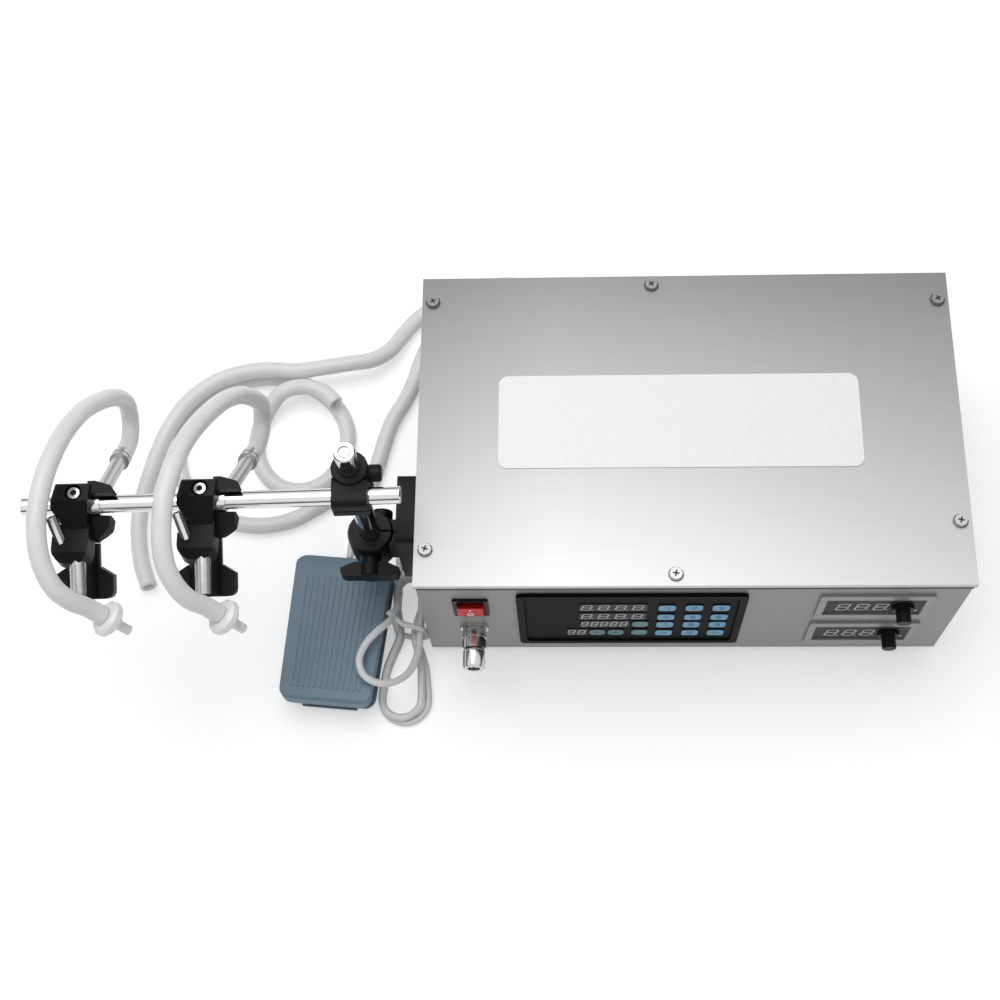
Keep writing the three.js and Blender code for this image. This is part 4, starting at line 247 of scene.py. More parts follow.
def smooth_group(degrees):
    """Geometry nodes that join a CAD mesh's split corners and smooth its shallow edges"""
    tree = bpy.data.node_groups.new("smooth_shading", "GeometryNodeTree")
    tree.interface.new_socket("Geometry", in_out="INPUT", socket_type="NodeSocketGeometry")
    tree.interface.new_socket("Geometry", in_out="OUTPUT", socket_type="NodeSocketGeometry")
    new, link = tree.nodes.new, tree.links.new
    start, end = new("NodeGroupInput"), new("NodeGroupOutput")
    plain = new("GeometryNodeRemoveAttribute")
    plain.inputs["Name"].default_value = "custom_normal"
    joined = new("GeometryNodeMergeByDistance")
    joined.inputs["Distance"].default_value = 2e-6
    faces = new("GeometryNodeSetShadeSmooth")
    faces.domain = "FACE"
    edges = new("GeometryNodeSetShadeSmooth")
    edges.domain = "EDGE"
    edges.inputs["Shade Smooth"].default_value = False
    angle = new("GeometryNodeInputMeshEdgeAngle")
    steep = new("FunctionNodeCompare")
    steep.data_type = "FLOAT"
    steep.operation = "GREATER_THAN"
    steep.inputs["B"].default_value = math.radians(degrees)
    link(start.outputs[0], plain.inputs["Geometry"])
    link(plain.outputs["Geometry"], joined.inputs["Geometry"])
    link(joined.outputs["Geometry"], faces.inputs["Geometry"])
    link(faces.outputs["Geometry"], edges.inputs["Geometry"])
    link(angle.outputs["Unsigned Angle"], steep.inputs["A"])
    link(steep.outputs["Result"], edges.inputs["Selection"])
    link(edges.outputs["Geometry"], end.inputs[0])
    return tree


SMOOTH = smooth_group(32)
for obj in NODES.values():
    obj.modifiers.new("smooth_shading", "NODES").node_group = SMOOTH


# Making pieces

def piece(name, vertices, faces, made, body, slot, smooth=True):
    data = bpy.data.meshes.new(name)
    data.from_pydata([tuple(v) for v in vertices], [], faces)
    data.materials.append(made)
    bm = bmesh.new()
    bm.from_mesh(data)
    bmesh.ops.recalc_face_normals(bm, faces=bm.faces)
    bm.to_mesh(data)
    bm.free()
    if smooth:
        data.shade_smooth()
    obj = bpy.data.objects.new(name, data)
    bpy.context.scene.collection.objects.link(obj)
    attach(obj, body)
    return obj


def smoothed(points, per_span=8):
    """A centripetal Catmull-Rom line through the points, as in part.mjs"""
    points = [Vector(p) for p in points]
    first = points[0] * 2 - points[1]
    last = points[-1] * 2 - points[-2]
    padded = [first, *points, last]
    line = []
    for i in range(len(points) - 1):
        a, b, c, d = padded[i:i + 4]
        t1 = max(1e-6, (b - a).length) ** 0.5
        t2 = t1 + max(1e-6, (c - b).length) ** 0.5
        t3 = t2 + max(1e-6, (d - c).length) ** 0.5
        for k in range(per_span):
            t = t1 + (t2 - t1) * k / per_span
            ab = a * ((t1 - t) / t1) + b * (t / t1)
            bc = b * ((t2 - t) / (t2 - t1)) + c * ((t - t1) / (t2 - t1))
            cd = c * ((t3 - t) / (t3 - t2)) + d * ((t - t2) / (t3 - t2))
            abc = ab * ((t2 - t) / t2) + bc * (t / t2)
            bcd = bc * ((t3 - t) / (t3 - t1)) + cd * ((t - t1) / (t3 - t1))
            line.append(abc * ((t2 - t) / (t2 - t1)) + bcd * ((t - t1) / (t2 - t1)))
    line.append(points[-1])
    return line


def swept(line, radius, sides, inner=0.0):
    """Vertices and faces of a tube along the line, open through its middle if it has an inner radius"""
    tangents = [
        (line[min(i + 1, len(line) - 1)] - line[max(i - 1, 0)]).normalized() for i in range(len(line))
    ]
    side = tangents[0].orthogonal().normalized()
    walls = []
    for at, along in zip(line, tangents):
        side = (side - along * side.dot(along)).normalized()
        other = along.cross(side)
        spokes = [
            side * math.cos(2 * math.pi * k / sides) + other * math.sin(2 * math.pi * k / sides)
            for k in range(sides)
        ]
        walls.append((at, spokes))
    vertices = [at + spoke * radius for at, spokes in walls for spoke in spokes]
    if inner:
        vertices += [at + spoke * inner for at, spokes in walls for spoke in spokes]
    faces = []
    count = len(line) * sides
    for layer in ((0, count) if inner else (0,)):
        for i in range(len(line) - 1):
            for k in range(sides):
                a, b = layer + i * sides + k, layer + i * sides + (k + 1) % sides
                faces.append((a, b, b + sides, a + sides))
    for start in (0, count - sides):
        ring = [start + k for k in range(sides)]
        if inner:
            for k in range(sides):
                a, b = ring[k], ring[(k + 1) % sides]
                faces.append((a, b, b + count, a + count))
        else:
            faces.append(tuple(ring))
    return vertices, faces


def lathe(profile, at, axis, sides):
    """Vertices and faces of a profile of (radius, height) points turned about an axis"""
    axis = Vector(axis).normalized()
    side = axis.orthogonal().normalized()
    other = axis.cross(side)
    vertices, rings, faces = [], [], []
    for radius, height in profile:
        centre = at + axis * height / 1000
        count = sides if radius else 1
        rings.append([len(vertices) + k % count for k in range(sides + 1)])
        for k in range(count):
            angle = 2 * math.pi * k / sides
            vertices.append(centre + (side * math.cos(angle) + other * math.sin(angle)) * radius / 1000)
    for lower, upper in zip(rings, rings[1:]):
        for k in range(sides):
            corners = (lower[k], lower[k + 1], upper[k + 1], upper[k])
            faces.append(tuple(dict.fromkeys(corners)))
    return vertices, faces


HOSE_RADIUS = 6.5
HOSE_BORE = 4.4
CABLE_RADIUS = 2.75
HOSE_SIDES = 24
CABLE_SIDES = 12


def lay_cord(name, route, radius, made, slot, body, nodes, inner=0.0):
    line = [place(*p) for p in smoothed(route)]
    sides = HOSE_SIDES if inner else CABLE_SIDES
    vertices, faces = swept(line, radius / 1000, sides, inner / 1000)
    obj = piece(name, vertices, faces, made, body, slot)
    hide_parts(*nodes)
    return obj


# Cords: the routes of part.mjs

NOZZLE_ROUTES = (
    [
        (-411, -3.8, 114.7), (-411, 6.2, 106.4), (-411, 18, 102), (-411, 29.5, 106.5), (-411, 35.5, 117),
        (-411, 35, 127), (-411.5, 25, 152), (-415, 11, 173), (-418, -4, 191), (-419, -20, 207),
        (-421, -37, 219), (-422, -53, 228), (-424, -69, 232), (-426, -85, 232), (-427, -101, 229),
        (-426, -116, 224), (-423, -129, 217), (-417, -140, 208), (-409, -145, 197), (-401, -145.5, 184.5),
        (-393.2, -148.1, 174.5),
    ],
    [
        (-316, -4.2, 113), (-314.9, 5.5, 104.4), (-313.5, 17, 100), (-312, 28.5, 104), (-311, 35, 114.5),
        (-311.5, 34.5, 125), (-318, 26, 152), (-324, 12, 173), (-328, -4, 191), (-331, -20, 207),
        (-335, -36, 219), (-338, -52, 228), (-341, -68, 232), (-344, -84, 232), (-345, -100, 229),
        (-345, -115, 224), (-343, -128, 217), (-338, -138, 208), (-331, -144, 197), (-323, -144.5, 184.5),
        (-315.2, -147.1, 174.5),
    ],
)
COILED_ROUTE = [
    (-146, 143, 52), (-146, 156, 52), (-149, 169, 46.5), (-156, 177, 37), (-166, 179, 24.5),
    (-178, 173, 13.5), (-189, 160.5, 7.4), (-199, 143, 6.6), (-206, 124, 6.6), (-211.5, 105, 6.6),
    (-218, 90, 6.6), (-226, 75, 6.6), (-232, 56, 6.6), (-237, 35, 6.6), (-244, 16, 6.6), (-273, 5, 6.5),
]
STRAIGHT_ROUTE = [
    (-118, 143, 52), (-118, 156, 52), (-119.5, 169, 48), (-125, 178, 40), (-135, 185.5, 29.5),
    (-149, 190, 19), (-166, 189, 11), (-184, 182.5, 7.2), (-201, 174.5, 6.6), (-214, 162, 6.6),
    (-223.5, 147, 9), (-232, 133, 14), (-244, 123.5, 18.5), (-262, 119.5, 20.6), (-282, 116, 20.8),
    (-306, 113, 20.8), (-329, 114.4, 20.8), (-352, 111, 20.8), (-375, 101, 20.8), (-394, 83, 20.2),
    (-407, 61, 18), (-414, 42, 16), (-419.5, 24, 12.5), (-424, 8, 8), (-425.8, -10, 6.6),
    (-424.3, -28.5, 6.6), (-419.9, -48.8, 6.6), (-412.4, -68, 6.6),
]
LEAD_ROUTE = [
    (-255.5, -45.7, 8.5), (-255, -40.3, 8.5), (-254, -31, 7.5), (-247, -21, 3.8), (-236, -17, 2.95),
    (-225, -22, 2.95), (-218.5, -36, 2.95), (-216.3, -68.5, 2.95),
]
TAIL_ROUTE = [
    (-216.3, -79.5, 15.15), (-215.5, -92, 23), (-219, -105, 33.5), (-227, -115, 39.5),
    (-235.5, -126, 41), (-239.5, -139, 41), (-235, -150, 40.5), (-224, -155, 38.5), (-212.5, -152, 33),
    (-203.5, -143, 27), (-198, -127, 23.5), (-196.5, -107, 23.2), (-196.5, -86, 22.8),
    (-196.5, -66, 22.4), (-196.5, -48, 12.5), (-196.8, -34, 4), (-197.3, -8, 2.9), (-197.5, 30, 2.9),
    (-197.5, 70, 2.9), (-195.5, 106, 2.9), (-192, 130, 4.5), (-188, 147, 13), (-181.5, 157, 26),
    (-175.5, 160, 39), (-172, 138.3, 46), (-172, 132.8, 46),
]


def eased(value, low, high):
    share = min(1.0, max(0.0, (value - low) / (high - low)))
    return share * share * (3 - 2 * share)


# The coil's outer and inner turn: middle x and y, and half widths. Turns are in degrees.
COIL_OUTER, COIL_INNER = (-329.2, 48.5, 70, 65.5), (-299.5, 55.8, 36.5, 43)
COIL_TURNS = range(50, 681, 15)
COIL_NARROWS, COIL_CLIMBS = (270, 400), (560, 612)
COIL_CLIMB = 13.6


def coil_points():
    points = []
    for turned in COIL_TURNS:
        narrow = eased(turned, *COIL_NARROWS)
        x, y, across, deep = (a + narrow * (b - a) for a, b in zip(COIL_OUTER, COIL_INNER))
        angle = math.radians(-turned)
        z = HOSE_RADIUS + COIL_CLIMB * eased(turned, *COIL_CLIMBS)
        points.append((x + across * math.cos(angle), y + deep * math.sin(angle), z))
    return points


# The hank's folds: middle x and y, and radius. Each loop lies inside the one under it.
HANK_TOP, HANK_BOTTOM = (-205.3, -74, 11), (-208, -158, 17.5)
HANK_NEST, HANK_CLIMB, HANK_FLOOR_GAP = 2.5, 6.1, 0.2
HANK_HALF_FOLD = 50
HANK_WAIST_Y, HANK_WAIST_SPREAD, HANK_WAIST_SHARE = -108, 17, 0.5
HANK_START, HANK_STEP, HANK_COUNT = 50, 11.25, 65
HANK_CLIMB_START, HANK_CLIMB_TURN = 215, 110


def hank_point(turned, climbed):
    """x and y on the hank, turned in degrees from its top and climbed by a number of layers"""
    top_x, top_y, top_radius = HANK_TOP
    bottom_x, bottom_y, bottom_radius = HANK_BOTTOM
    bottom_x -= HANK_NEST * climbed
    bottom_radius -= HANK_NEST * climbed
    half_fold = HANK_HALF_FOLD
    loop_turned = turned % 360
    side = -1 if loop_turned < 180 else 1
    from_top = loop_turned if loop_turned < 180 else 360 - loop_turned
    if from_top < half_fold:
        angle = math.radians(90 * from_top / half_fold)
        return top_x + side * top_radius * math.sin(angle), top_y + top_radius * math.cos(angle)
    if from_top > 180 - half_fold:
        angle = math.radians(90 * (180 - from_top) / half_fold)
        x = bottom_x + side * bottom_radius * math.sin(angle)
        return x, bottom_y - bottom_radius * math.cos(angle)
    share = (from_top - half_fold) / (180 - 2 * half_fold)
    y = top_y + share * (bottom_y - top_y)
    waist = math.exp(-(((y - HANK_WAIST_Y) / HANK_WAIST_SPREAD) ** 2))
    half = top_radius + share * (bottom_radius - top_radius)
    return top_x + share * (bottom_x - top_x) + side * half * (1 - HANK_WAIST_SHARE * waist), y


def hank_points():
    points = []
    for i in range(HANK_COUNT):
        turned = HANK_START + HANK_STEP * i
        loop = math.floor((turned - HANK_CLIMB_START) / 360)
        climbed = loop + eased(turned - HANK_CLIMB_START - 360 * loop, 0, HANK_CLIMB_TURN)
        x, y = hank_point(turned, climbed)
        points.append((x, y, CABLE_RADIUS + HANK_CLIMB * climbed + HANK_FLOOR_GAP))
    return points


for i, route in enumerate(NOZZLE_ROUTES, 1):
    lay_cord(
        f"nozzle_hose_{i}.clear", route, HOSE_RADIUS, clear_hose, "clear_hose", f"station_{i}",
        [f"nozzle_hose_{i}"], HOSE_BORE,
    )
lay_cord(
    "supply_hose_1.clear", COILED_ROUTE + coil_points(), HOSE_RADIUS, clear_hose, "clear_hose", "machine",
    ["supply_hose_1", "supply_coil"], HOSE_BORE,
)
lay_cord(
    "supply_hose_2.clear", STRAIGHT_ROUTE, HOSE_RADIUS, clear_hose, "clear_hose", "machine",
    ["supply_hose_2"], HOSE_BORE,
)
lay_cord(
    "pedal_cable", LEAD_ROUTE + hank_points() + TAIL_ROUTE, CABLE_RADIUS, cable_jacket, "cable_jacket",
    "machine", ["pedal_lead", "cable_hank", "machine_lead"],
)

# The tie round the hank's waist, a short end of the same cable

TIE = [
    (-219.5, -98, 28), (-217, -101, 27), (-215.8, -104, 18), (-215, -106, 7), (-209, -107.5, 3.4),
    (-200, -108.5, 3.4), (-193.5, -109.5, 8), (-192.6, -110, 18), (-194.5, -109.8, 27.5),
    (-202, -108, 28.8), (-210, -105.5, 28.2), (-216, -101, 29.5), (-221, -97, 31.5),
]
TIE_RADIUS = 0.0022
tie_line = [place(*p) for p in smoothed(TIE)]
piece("hank_tie", *swept(tie_line, TIE_RADIUS, CABLE_SIDES), cable_jacket, "machine", "cable_jacket")


# Flat marks laid on a CAD surface

def surface(node):
    obj = NODES[node]
    data = obj.data
    vertices = [obj.matrix_world @ v.co for v in data.vertices]
    return BVHTree.FromPolygons(vertices, [tuple(p.vertices) for p in data.polygons])


SURFACES = {}
LIFT = 0.12
UPPER_LIFT = 0.2
LABEL_LIFT = 0.5
SCREW_LIFT = 0.08


def laid(name, outlines, node, along, made, body, slot, lift=LIFT):
    """Flat shapes carried along a direction onto a node, each vertex a little proud of it"""
    tree = SURFACES.setdefault(node, surface(node))
    vertices, faces = [], []
    for outline in outlines:
        first = len(vertices)
        for point in outline:
            hit = tree.ray_cast(point, along)[0]
            vertices.append((hit or point) - along * lift / 1000)
        faces.append(tuple(range(first, len(vertices))))
    return piece(name, vertices, faces, made, body, slot, smooth=False)


FORWARD = Vector((0, 1, 0))
DOWN = Vector((0, 0, -1))


def front_shapes(shapes, y=-160):
    return [[place(x, y, z) for x, z in shape] for shape in shapes]


def top_shapes(shapes, z=170):
    return [[place(x, y, z) for x, y in shape] for shape in shapes]


def rounded(cx, cy, width, height, radius, steps=5):
    outline = []
    for quarter, (sx, sy) in enumerate(((1, 1), (-1, 1), (-1, -1), (1, -1))):
        for k in range(steps + 1):
            angle = math.radians(90 * quarter + 90 * k / steps)
            outline.append((
                cx + sx * (width / 2 - radius) + radius * math.cos(angle),
                cy + sy * (height / 2 - radius) + radius * math.sin(angle),
            ))
    return outline


SEGMENTS = {
    "a": (0, 1, 1, 1), "b": (1, 0.5, 1, 1), "c": (1, 0, 1, 0.5), "d": (0, 0, 1, 0),
    "e": (0, 0, 0, 0.5), "f": (0, 0.5, 0, 1), "g": (0, 0.5, 1, 0.5),
}
DIGITS = {
    "0": "abcdef", "1": "bc", "2": "abged", "3": "abgcd", "4": "fgbc", "5": "afgcd", "6": "afgedc",
    "7": "abc", "8": "abcdefg", "9": "abcdfg",
}


def bar_shape(x0, y0, x1, y1, thick):
    along = Vector((x1 - x0, y1 - y0)).normalized()
    across = Vector((-along.y, along.x)) * thick / 2
    a, b = Vector((x0, y0)) + along * thick * 0.35, Vector((x1, y1)) - along * thick * 0.35
    return [tuple(a + across), tuple(b + across), tuple(b - across), tuple(a - across)]


def digit(mark, cx, cy, width, height, thick, slant=0.18, point=False):
    shapes = []
    for key in DIGITS[mark]:
        x0, y0, x1, y1 = SEGMENTS[key]
        ends = []
        for sx, sy in ((x0, y0), (x1, y1)):
            py = (sy - 0.5) * height
            ends += [cx + (sx - 0.5) * width + slant * py, cy + py]
        shapes.append(bar_shape(*ends, thick))
    if point:
        px, py = cx + width * 0.5 + thick * 1.1, cy - height / 2
        shapes.append([(px - thick / 2, py - thick / 2), (px + thick / 2, py - thick / 2),
                       (px + thick / 2, py + thick / 2), (px - thick / 2, py + thick / 2)])
    return shapes


# Label left bare, lid screws drawn in painted shade and shadow, rocker marks

LABEL_X, LABEL_Y, LABEL_WIDTH, LABEL_DEPTH = -6, 3, 254, 72
outline = rounded(LABEL_X, LABEL_Y, LABEL_WIDTH, LABEL_DEPTH, 7, 8)
laid(
    "label_plate", top_shapes([outline]), "top_cover", DOWN, label_white, "machine", "brushed_sheet",
    LABEL_LIFT,
)


def ring(cx, cy, inside, outside, sides=24):
    spokes = [
        (math.cos(2 * math.pi * k / sides), math.sin(2 * math.pi * k / sides)) for k in range(sides + 1)
    ]
    return [
        [(cx + a[0] * inside, cy + a[1] * inside), (cx + a[0] * outside, cy + a[1] * outside),
         (cx + b[0] * outside, cy + b[1] * outside), (cx + b[0] * inside, cy + b[1] * inside)]
        for a, b in zip(spokes, spokes[1:])
    ]


SCREW_PLACES = (
    (-182.0, 99.6), (-182.0, -93.6), (182.0, 97.2), (182.0, -74.4), (-22.8, 112.0), (-11.4, -112.0),
)
CROSS_REACH, CROSS_WIDTH = 2.7, 1.1
SCREW_SHADOW_RADII = (4.5, 5.2)
FIRST_TURN, NEXT_TURN = 25, 47
# Painted shade in each screw's cross slot and a painted shadow ring round the edge of its head
crosses, shadows = [], []
for i, (x, y) in enumerate(SCREW_PLACES):
    turned = math.radians(FIRST_TURN + NEXT_TURN * i)
    for quarter in (0, math.pi / 2):
        dx, dy = CROSS_REACH * math.cos(turned + quarter), CROSS_REACH * math.sin(turned + quarter)
        crosses.append(bar_shape(x - dx, y - dy, x + dx, y + dy, CROSS_WIDTH))
    shadows += ring(x, y, *SCREW_SHADOW_RADII)
laid(
    "screw_cross_shade", top_shapes(crosses), "top_cover", DOWN, painted_shade, "machine", "brushed_sheet",
    SCREW_LIFT,
)
laid(
    "screw_edge_shadows", top_shapes(shadows), "top_cover", DOWN, painted_shade, "machine", "brushed_sheet",
    SCREW_LIFT,
)
ROCKER_X = -153
strokes = [bar_shape(ROCKER_X, 111.3, ROCKER_X, 114.6, 1.3)] + ring(ROCKER_X, 107.4, 1.1, 2.3)
laid("rocker_marks", front_shapes(strokes), "switch_rocker", FORWARD, white_mark, "rocker", "red_plastic")

# Painted shadow: a dark line along the foot of the lid's flat front edge, standing in for the shade under
# the lid's edge

SHADOW_HALF_WIDTH, SHADOW_LOW, SHADOW_HIGH = 188, 144.3, 147.3
gap_shadow_line = [
    (-SHADOW_HALF_WIDTH, SHADOW_LOW), (SHADOW_HALF_WIDTH, SHADOW_LOW), (SHADOW_HALF_WIDTH, SHADOW_HIGH),
    (-SHADOW_HALF_WIDTH, SHADOW_HIGH),
]
lid_front = Vector(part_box("top_cover")[0]).y - LIFT / 1000
gap_shadow_corners = [Vector((place(x, 0, z).x, lid_front, z / 1000)) for x, z in gap_shadow_line]
piece("lid_gap_shadow", gap_shadow_corners, [(0, 1, 2, 3)], painted_shade, "machine", "brushed_sheet", smooth=False)

# The pedal's return spring, a helix drawn at the length of the CAD spring

SPRING_WIRE, SPRING_RADIUS = 0.0009, 0.006
SPRING_TURNS, SPRING_STEPS, SPRING_SIDES = 5, 16, 8
spring_low, spring_high = (Vector(corner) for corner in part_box("pedal_spring"))
spring_middle = (spring_low + spring_high) / 2
spring_rise = spring_high.z - spring_low.z
spring_line = []
for k in range(SPRING_TURNS * SPRING_STEPS + 1):
    turned = 2 * math.pi * k / SPRING_STEPS
    share = k / (SPRING_TURNS * SPRING_STEPS)
    spring_line.append(Vector((
        spring_middle.x + SPRING_RADIUS * math.cos(turned),
        spring_middle.y + SPRING_RADIUS * math.sin(turned),
        spring_low.z + SPRING_WIRE + (spring_rise - 2 * SPRING_WIRE) * share,
    )))
return_spring = piece(
    "return_spring", *swept(spring_line, SPRING_WIRE, SPRING_SIDES), rod_steel, "machine", "polished_rod",
)
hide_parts("pedal_spring")
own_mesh(return_spring)

# Painted shade: dark cups in the sockets of the head screws; the mast's stopper, the plug's insert and pins

STATIONS = ((-183.1, 0), (-98.7, -2))


def in_station(number, x, y, z):
    """A place in the frame of a nozzle head"""
    along_arm, swing = STATIONS[number - 1]
    local = Matrix.Rotation(math.radians(swing), 3, "X") @ Vector((x, y, z))
    arm = Matrix.Rotation(math.radians(1.6), 3, "Z") @ (local + Vector((along_arm, -15.6, 194)))
    return place(arm.x - 229, arm.y - 55.4, arm.z)


# The cup of painted shade sunk in each head screw's socket
CUP = [(0, 0), (2.25, 0), (2.25, 2.9), (1.95, 2.9), (1.95, 0.3), (0, 0.3)]
for number in (1, 2):
    foot = in_station(number, 0, 2.4, 12.55)
    upward = in_station(number, 0, 2.4, 22.55) - foot
    piece(
        f"screw_socket_shade_{number}", *lathe(CUP, foot, upward, 6), painted_shade, f"station_{number}",
        "plated_connector", smooth=False,
    )
STOPPER = [(0, 0), (4.5, 0), (4.5, 9.8), (3.7, 9.8), (3.4, 10.9), (0.9, 10.9), (0.7, 10.2), (0, 10.2)]
piece(
    "mast_stopper", *lathe(STOPPER, place(-229, -55.4, 220.05), (0, 0, 1), 24), nozzle_steel, "mast",
    "polished_rod", smooth=False,
)
INSERT = [(0, 0), (4.5, 0), (4.5, 8.4), (0, 8.4)]
PLUG_END = (-153, -140.75, 61)
piece(
    "plug_insert", *lathe(INSERT, place(*PLUG_END), (0, -1, 0), 20), black_plastic, "plug",
    "black_plastic", smooth=False,
)
for number, (dx, dz) in enumerate(((-1.7, 1.7), (1.7, 1.7), (1.7, -1.7), (-1.7, -1.7)), 1):
    pin_foot = place(PLUG_END[0] + dx, PLUG_END[1] - 8.2, PLUG_END[2] + dz)
    pin = lathe([(0, 0), (0.6, 0), (0.6, 1.3), (0, 1.3)], pin_foot, (0, -1, 0), 8)
    piece(f"plug_pin_{number}", *pin, nozzle_steel, "plug", "plated_connector", smooth=False)

# Displays and keys on the panel

PANEL_X, PANEL_Z, PANEL_WIDTH, PANEL_HEIGHT = -40.5, 81, 160, 104


def on_panel(share_x, share_z):
    return PANEL_X + share_x * PANEL_WIDTH / 2, PANEL_Z + share_z * PANEL_HEIGHT / 2


KEY_COLUMNS = (0.316, 0.553, 0.786)
KEY_ROWS = (0.485, 0.105, -0.22, -0.58)
KEY_SIZE, ARROW_KEY_SIZE = (12, 11.8, 3), (11.6, 11.5, 4)
keys, marks = [], []
labels = iter("123456789")
for row in KEY_ROWS:
    for column in KEY_COLUMNS:
        x, z = on_panel(column, row)
        keys.append(rounded(x, z, *KEY_SIZE))
        mark = next(labels, None)
        if mark is None:
            mark = "0" if column == KEY_COLUMNS[1] else None
        if mark:
            marks += digit(mark, x, z, 2.6, 5.2, 0.8, 0)
        else:
            marks.append(bar_shape(x - 2.6, z, x + 2.6, z, 0.9))
laid("number_keys", front_shapes(keys), "key_panel", FORWARD, key_blue, "machine", "blue_overlay")
laid("key_marks", front_shapes(marks), "key_panel", FORWARD, key_mark, "machine", "blue_overlay", UPPER_LIFT)
arrows, heads = [], []
for (share_x, share_z), kind in (
    ((-0.29, -0.56), "down"), ((-0.12, -0.56), "up"), ((0.095, -0.56), ""), ((0.095, -0.2), ""),
):
    x, z = on_panel(share_x, share_z)
    arrows.append(rounded(x, z, *ARROW_KEY_SIZE))
    tip = {"down": -2.2, "up": 2.2}.get(kind)
    if tip:
        heads.append([(x - 3.4, z - tip * 0.6), (x + 3.4, z - tip * 0.6), (x, z + tip)])
laid("arrow_keys", front_shapes(arrows), "key_panel", FORWARD, key_teal, "machine", "blue_overlay")
laid(
    "arrow_marks", front_shapes(heads), "key_panel", FORWARD, key_mark, "machine", "blue_overlay",
    UPPER_LIFT,
)
# Each display: where its middle is, its width, its number of digits and their scale
DISPLAYS = (
    (-0.155, 0.5, 48, 4, 1.0), (-0.155, 0.13, 48, 4, 1.0), (-0.222, -0.2, 35, 5, 0.66),
    (-0.47, -0.56, 15, 2, 0.7),
)
DISPLAY_HEIGHT, DISPLAY_CORNER = 13.6, 0.6
windows, segments = [], []
for share_x, share_z, width, count, size in DISPLAYS:
    x, z = on_panel(share_x, share_z)
    windows.append(rounded(x, z, width, DISPLAY_HEIGHT, DISPLAY_CORNER, 2))
    step = width / count
    for k in range(count):
        at = x - width / 2 + step * (k + 0.5) - 0.6
        segments += digit("8", at, z, 6.2 * size, 9.6, 1.1, 0.16, point=size == 1.0)
laid("display_windows", front_shapes(windows), "key_panel", FORWARD, window, "machine", "blue_overlay")
laid(
    "display_digits", front_shapes(segments), "key_panel", FORWARD, segment, "machine", "blue_overlay",
    UPPER_LIFT,
)

# Speed meters

METER_X = 128
METER_WINDOW = (67, 30, 1, 2)
METER_DIGITS, METER_FIRST_DIGIT, METER_DIGIT_STEP = 3, -21, 13
for name, z in (("upper", 106), ("lower", 48)):
    node = f"speed_meter_{name}"
    face = rounded(METER_X, z, *METER_WINDOW)
    laid(f"meter_window_{name}", front_shapes([face]), node, FORWARD, window, "machine", "silver_plastic")
    shapes = []
    for k in range(METER_DIGITS):
        x = METER_X + METER_FIRST_DIGIT + METER_DIGIT_STEP * k
        shapes += digit("8", x, z - 1, 7.5, 12, 1.3, 0.16, point=True)
    hint = [(METER_X + 27, z - 10), (METER_X + 31, z - 10), (METER_X + 31, z - 7)]
    for what, outlines, made in (("digits", shapes, segment), ("mark", [hint], white_mark)):
        laid(
            f"meter_{what}_{name}", front_shapes(outlines), node, FORWARD, made, "machine",
            "silver_plastic", UPPER_LIFT,
        )


# Floor and light

def seen_ray(tree):
    """1 where a ray from the camera, or off metal or through glass, looks at the background"""
    path = tree.nodes.new("ShaderNodeLightPath")
    either = tree.nodes.new("ShaderNodeMath")
    either.operation = "MAXIMUM"
    any_of = tree.nodes.new("ShaderNodeMath")
    any_of.operation = "MAXIMUM"
    tree.links.new(path.outputs["Is Camera Ray"], either.inputs[0])
    tree.links.new(path.outputs["Is Glossy Ray"], either.inputs[1])
    tree.links.new(either.outputs[0], any_of.inputs[0])
    tree.links.new(path.outputs["Is Transmission Ray"], any_of.inputs[1])
    return any_of.outputs[0]


FLOOR_HALF, FLOOR_Z, FLOOR_GLOW = 6, -0.0004, 0.42


def stage_floor():
    data = bpy.data.meshes.new("floor")
    corners = [(x * FLOOR_HALF, y * FLOOR_HALF, FLOOR_Z) for x, y in ((-1, -1), (1, -1), (1, 1), (-1, 1))]
    data.from_pydata(corners, [], [(0, 1, 2, 3)])
    made = bpy.data.materials.new("floor")
    made.use_nodes = True
    tree = made.node_tree
    tree.nodes.clear()
    matte = tree.nodes.new("ShaderNodeBsdfDiffuse")
    matte.inputs["Color"].default_value = (0.8, 0.8, 0.8, 1)
    glow = tree.nodes.new("ShaderNodeEmission")
    summed = tree.nodes.new("ShaderNodeAddShader")
    output = tree.nodes.new("ShaderNodeOutputMaterial")
    lift = tree.nodes.new("ShaderNodeMath")
    lift.operation = "MULTIPLY"
    lift.inputs[1].default_value = FLOOR_GLOW
    tree.links.new(seen_ray(tree), lift.inputs[0])
    tree.links.new(lift.outputs[0], glow.inputs["Strength"])
    tree.links.new(matte.outputs[0], summed.inputs[0])
    tree.links.new(glow.outputs[0], summed.inputs[1])
    tree.links.new(summed.outputs[0], output.inputs["Surface"])
    data.materials.append(made)
    obj = bpy.data.objects.new("floor", data)
    bpy.context.scene.collection.objects.link(obj)


stage_floor()

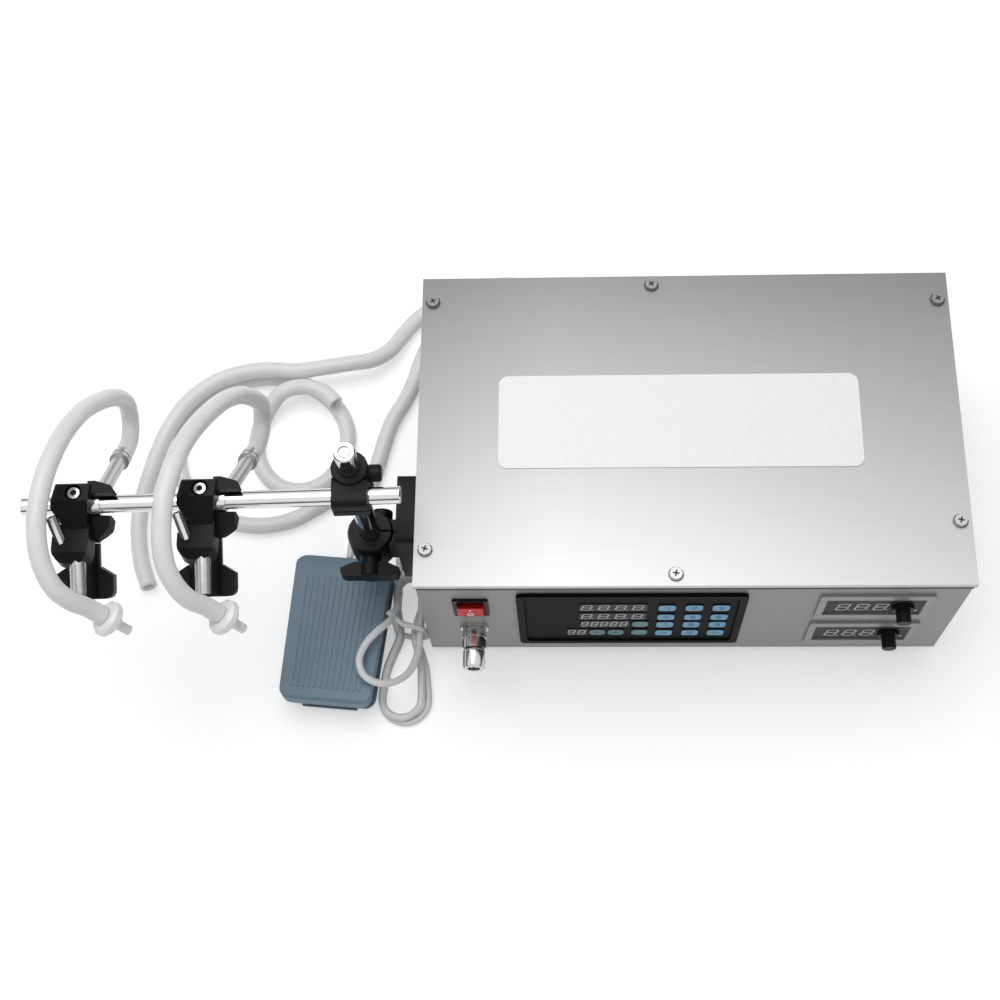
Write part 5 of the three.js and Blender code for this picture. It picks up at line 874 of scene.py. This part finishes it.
world = bpy.data.worlds.new("world")
bpy.context.scene.world = world
world.use_nodes = True
tree = world.node_tree
ambient = tree.nodes["Background"]
ambient.inputs["Color"].default_value = (1, 1, 1, 1)
ambient.inputs["Strength"].default_value = 0.5
seen = tree.nodes.new("ShaderNodeBackground")
seen.inputs["Color"].default_value = (1, 1, 1, 1)
seen.inputs["Strength"].default_value = 1
# Metal also sees the dark band that a studio has along its horizon
where = tree.nodes.new("ShaderNodeTexCoord")
parts = tree.nodes.new("ShaderNodeSeparateXYZ")
ramp = tree.nodes.new("ShaderNodeValToRGB")
for element, (position, value) in zip(ramp.color_ramp.elements, ((0.02, 0.03), (0.5, 1))):
    element.position = position
    element.color = (value, value, value, 1)
for position, value in ((0.14, 0.05), (0.24, 0.35)):
    ramp.color_ramp.elements.new(position).color = (value, value, value, 1)
path = tree.nodes.new("ShaderNodeLightPath")
tint = tree.nodes.new("ShaderNodeMix")
tint.data_type = "RGBA"
tint.inputs["A"].default_value = (1, 1, 1, 1)
tree.links.new(where.outputs["Generated"], parts.inputs["Vector"])
tree.links.new(parts.outputs["Z"], ramp.inputs["Fac"])
tree.links.new(path.outputs["Is Glossy Ray"], tint.inputs["Factor"])
tree.links.new(ramp.outputs["Color"], tint.inputs["B"])
tree.links.new(tint.outputs["Result"], seen.inputs["Color"])
blend = tree.nodes.new("ShaderNodeMixShader")
tree.links.new(seen_ray(tree), blend.inputs["Fac"])
tree.links.new(ambient.outputs[0], blend.inputs[1])
tree.links.new(seen.outputs[0], blend.inputs[2])
tree.links.new(blend.outputs[0], tree.nodes["World Output"].inputs["Surface"])


def lamp(name, energy, size, at, aim):
    data = bpy.data.lights.new(name, "AREA")
    data.energy = energy
    data.shape = "DISK"
    data.size = size
    obj = bpy.data.objects.new(name, data)
    obj.location = at
    obj.rotation_euler = (Vector(aim) - Vector(at)).to_track_quat("-Z", "Y").to_euler()
    bpy.context.scene.collection.objects.link(obj)


lamp("key_light", 18, 1.6, (-0.3, 0.35, 2.0), (0.0, 0.0, 0.05))
bpy.context.scene.view_settings.view_transform = "Standard"
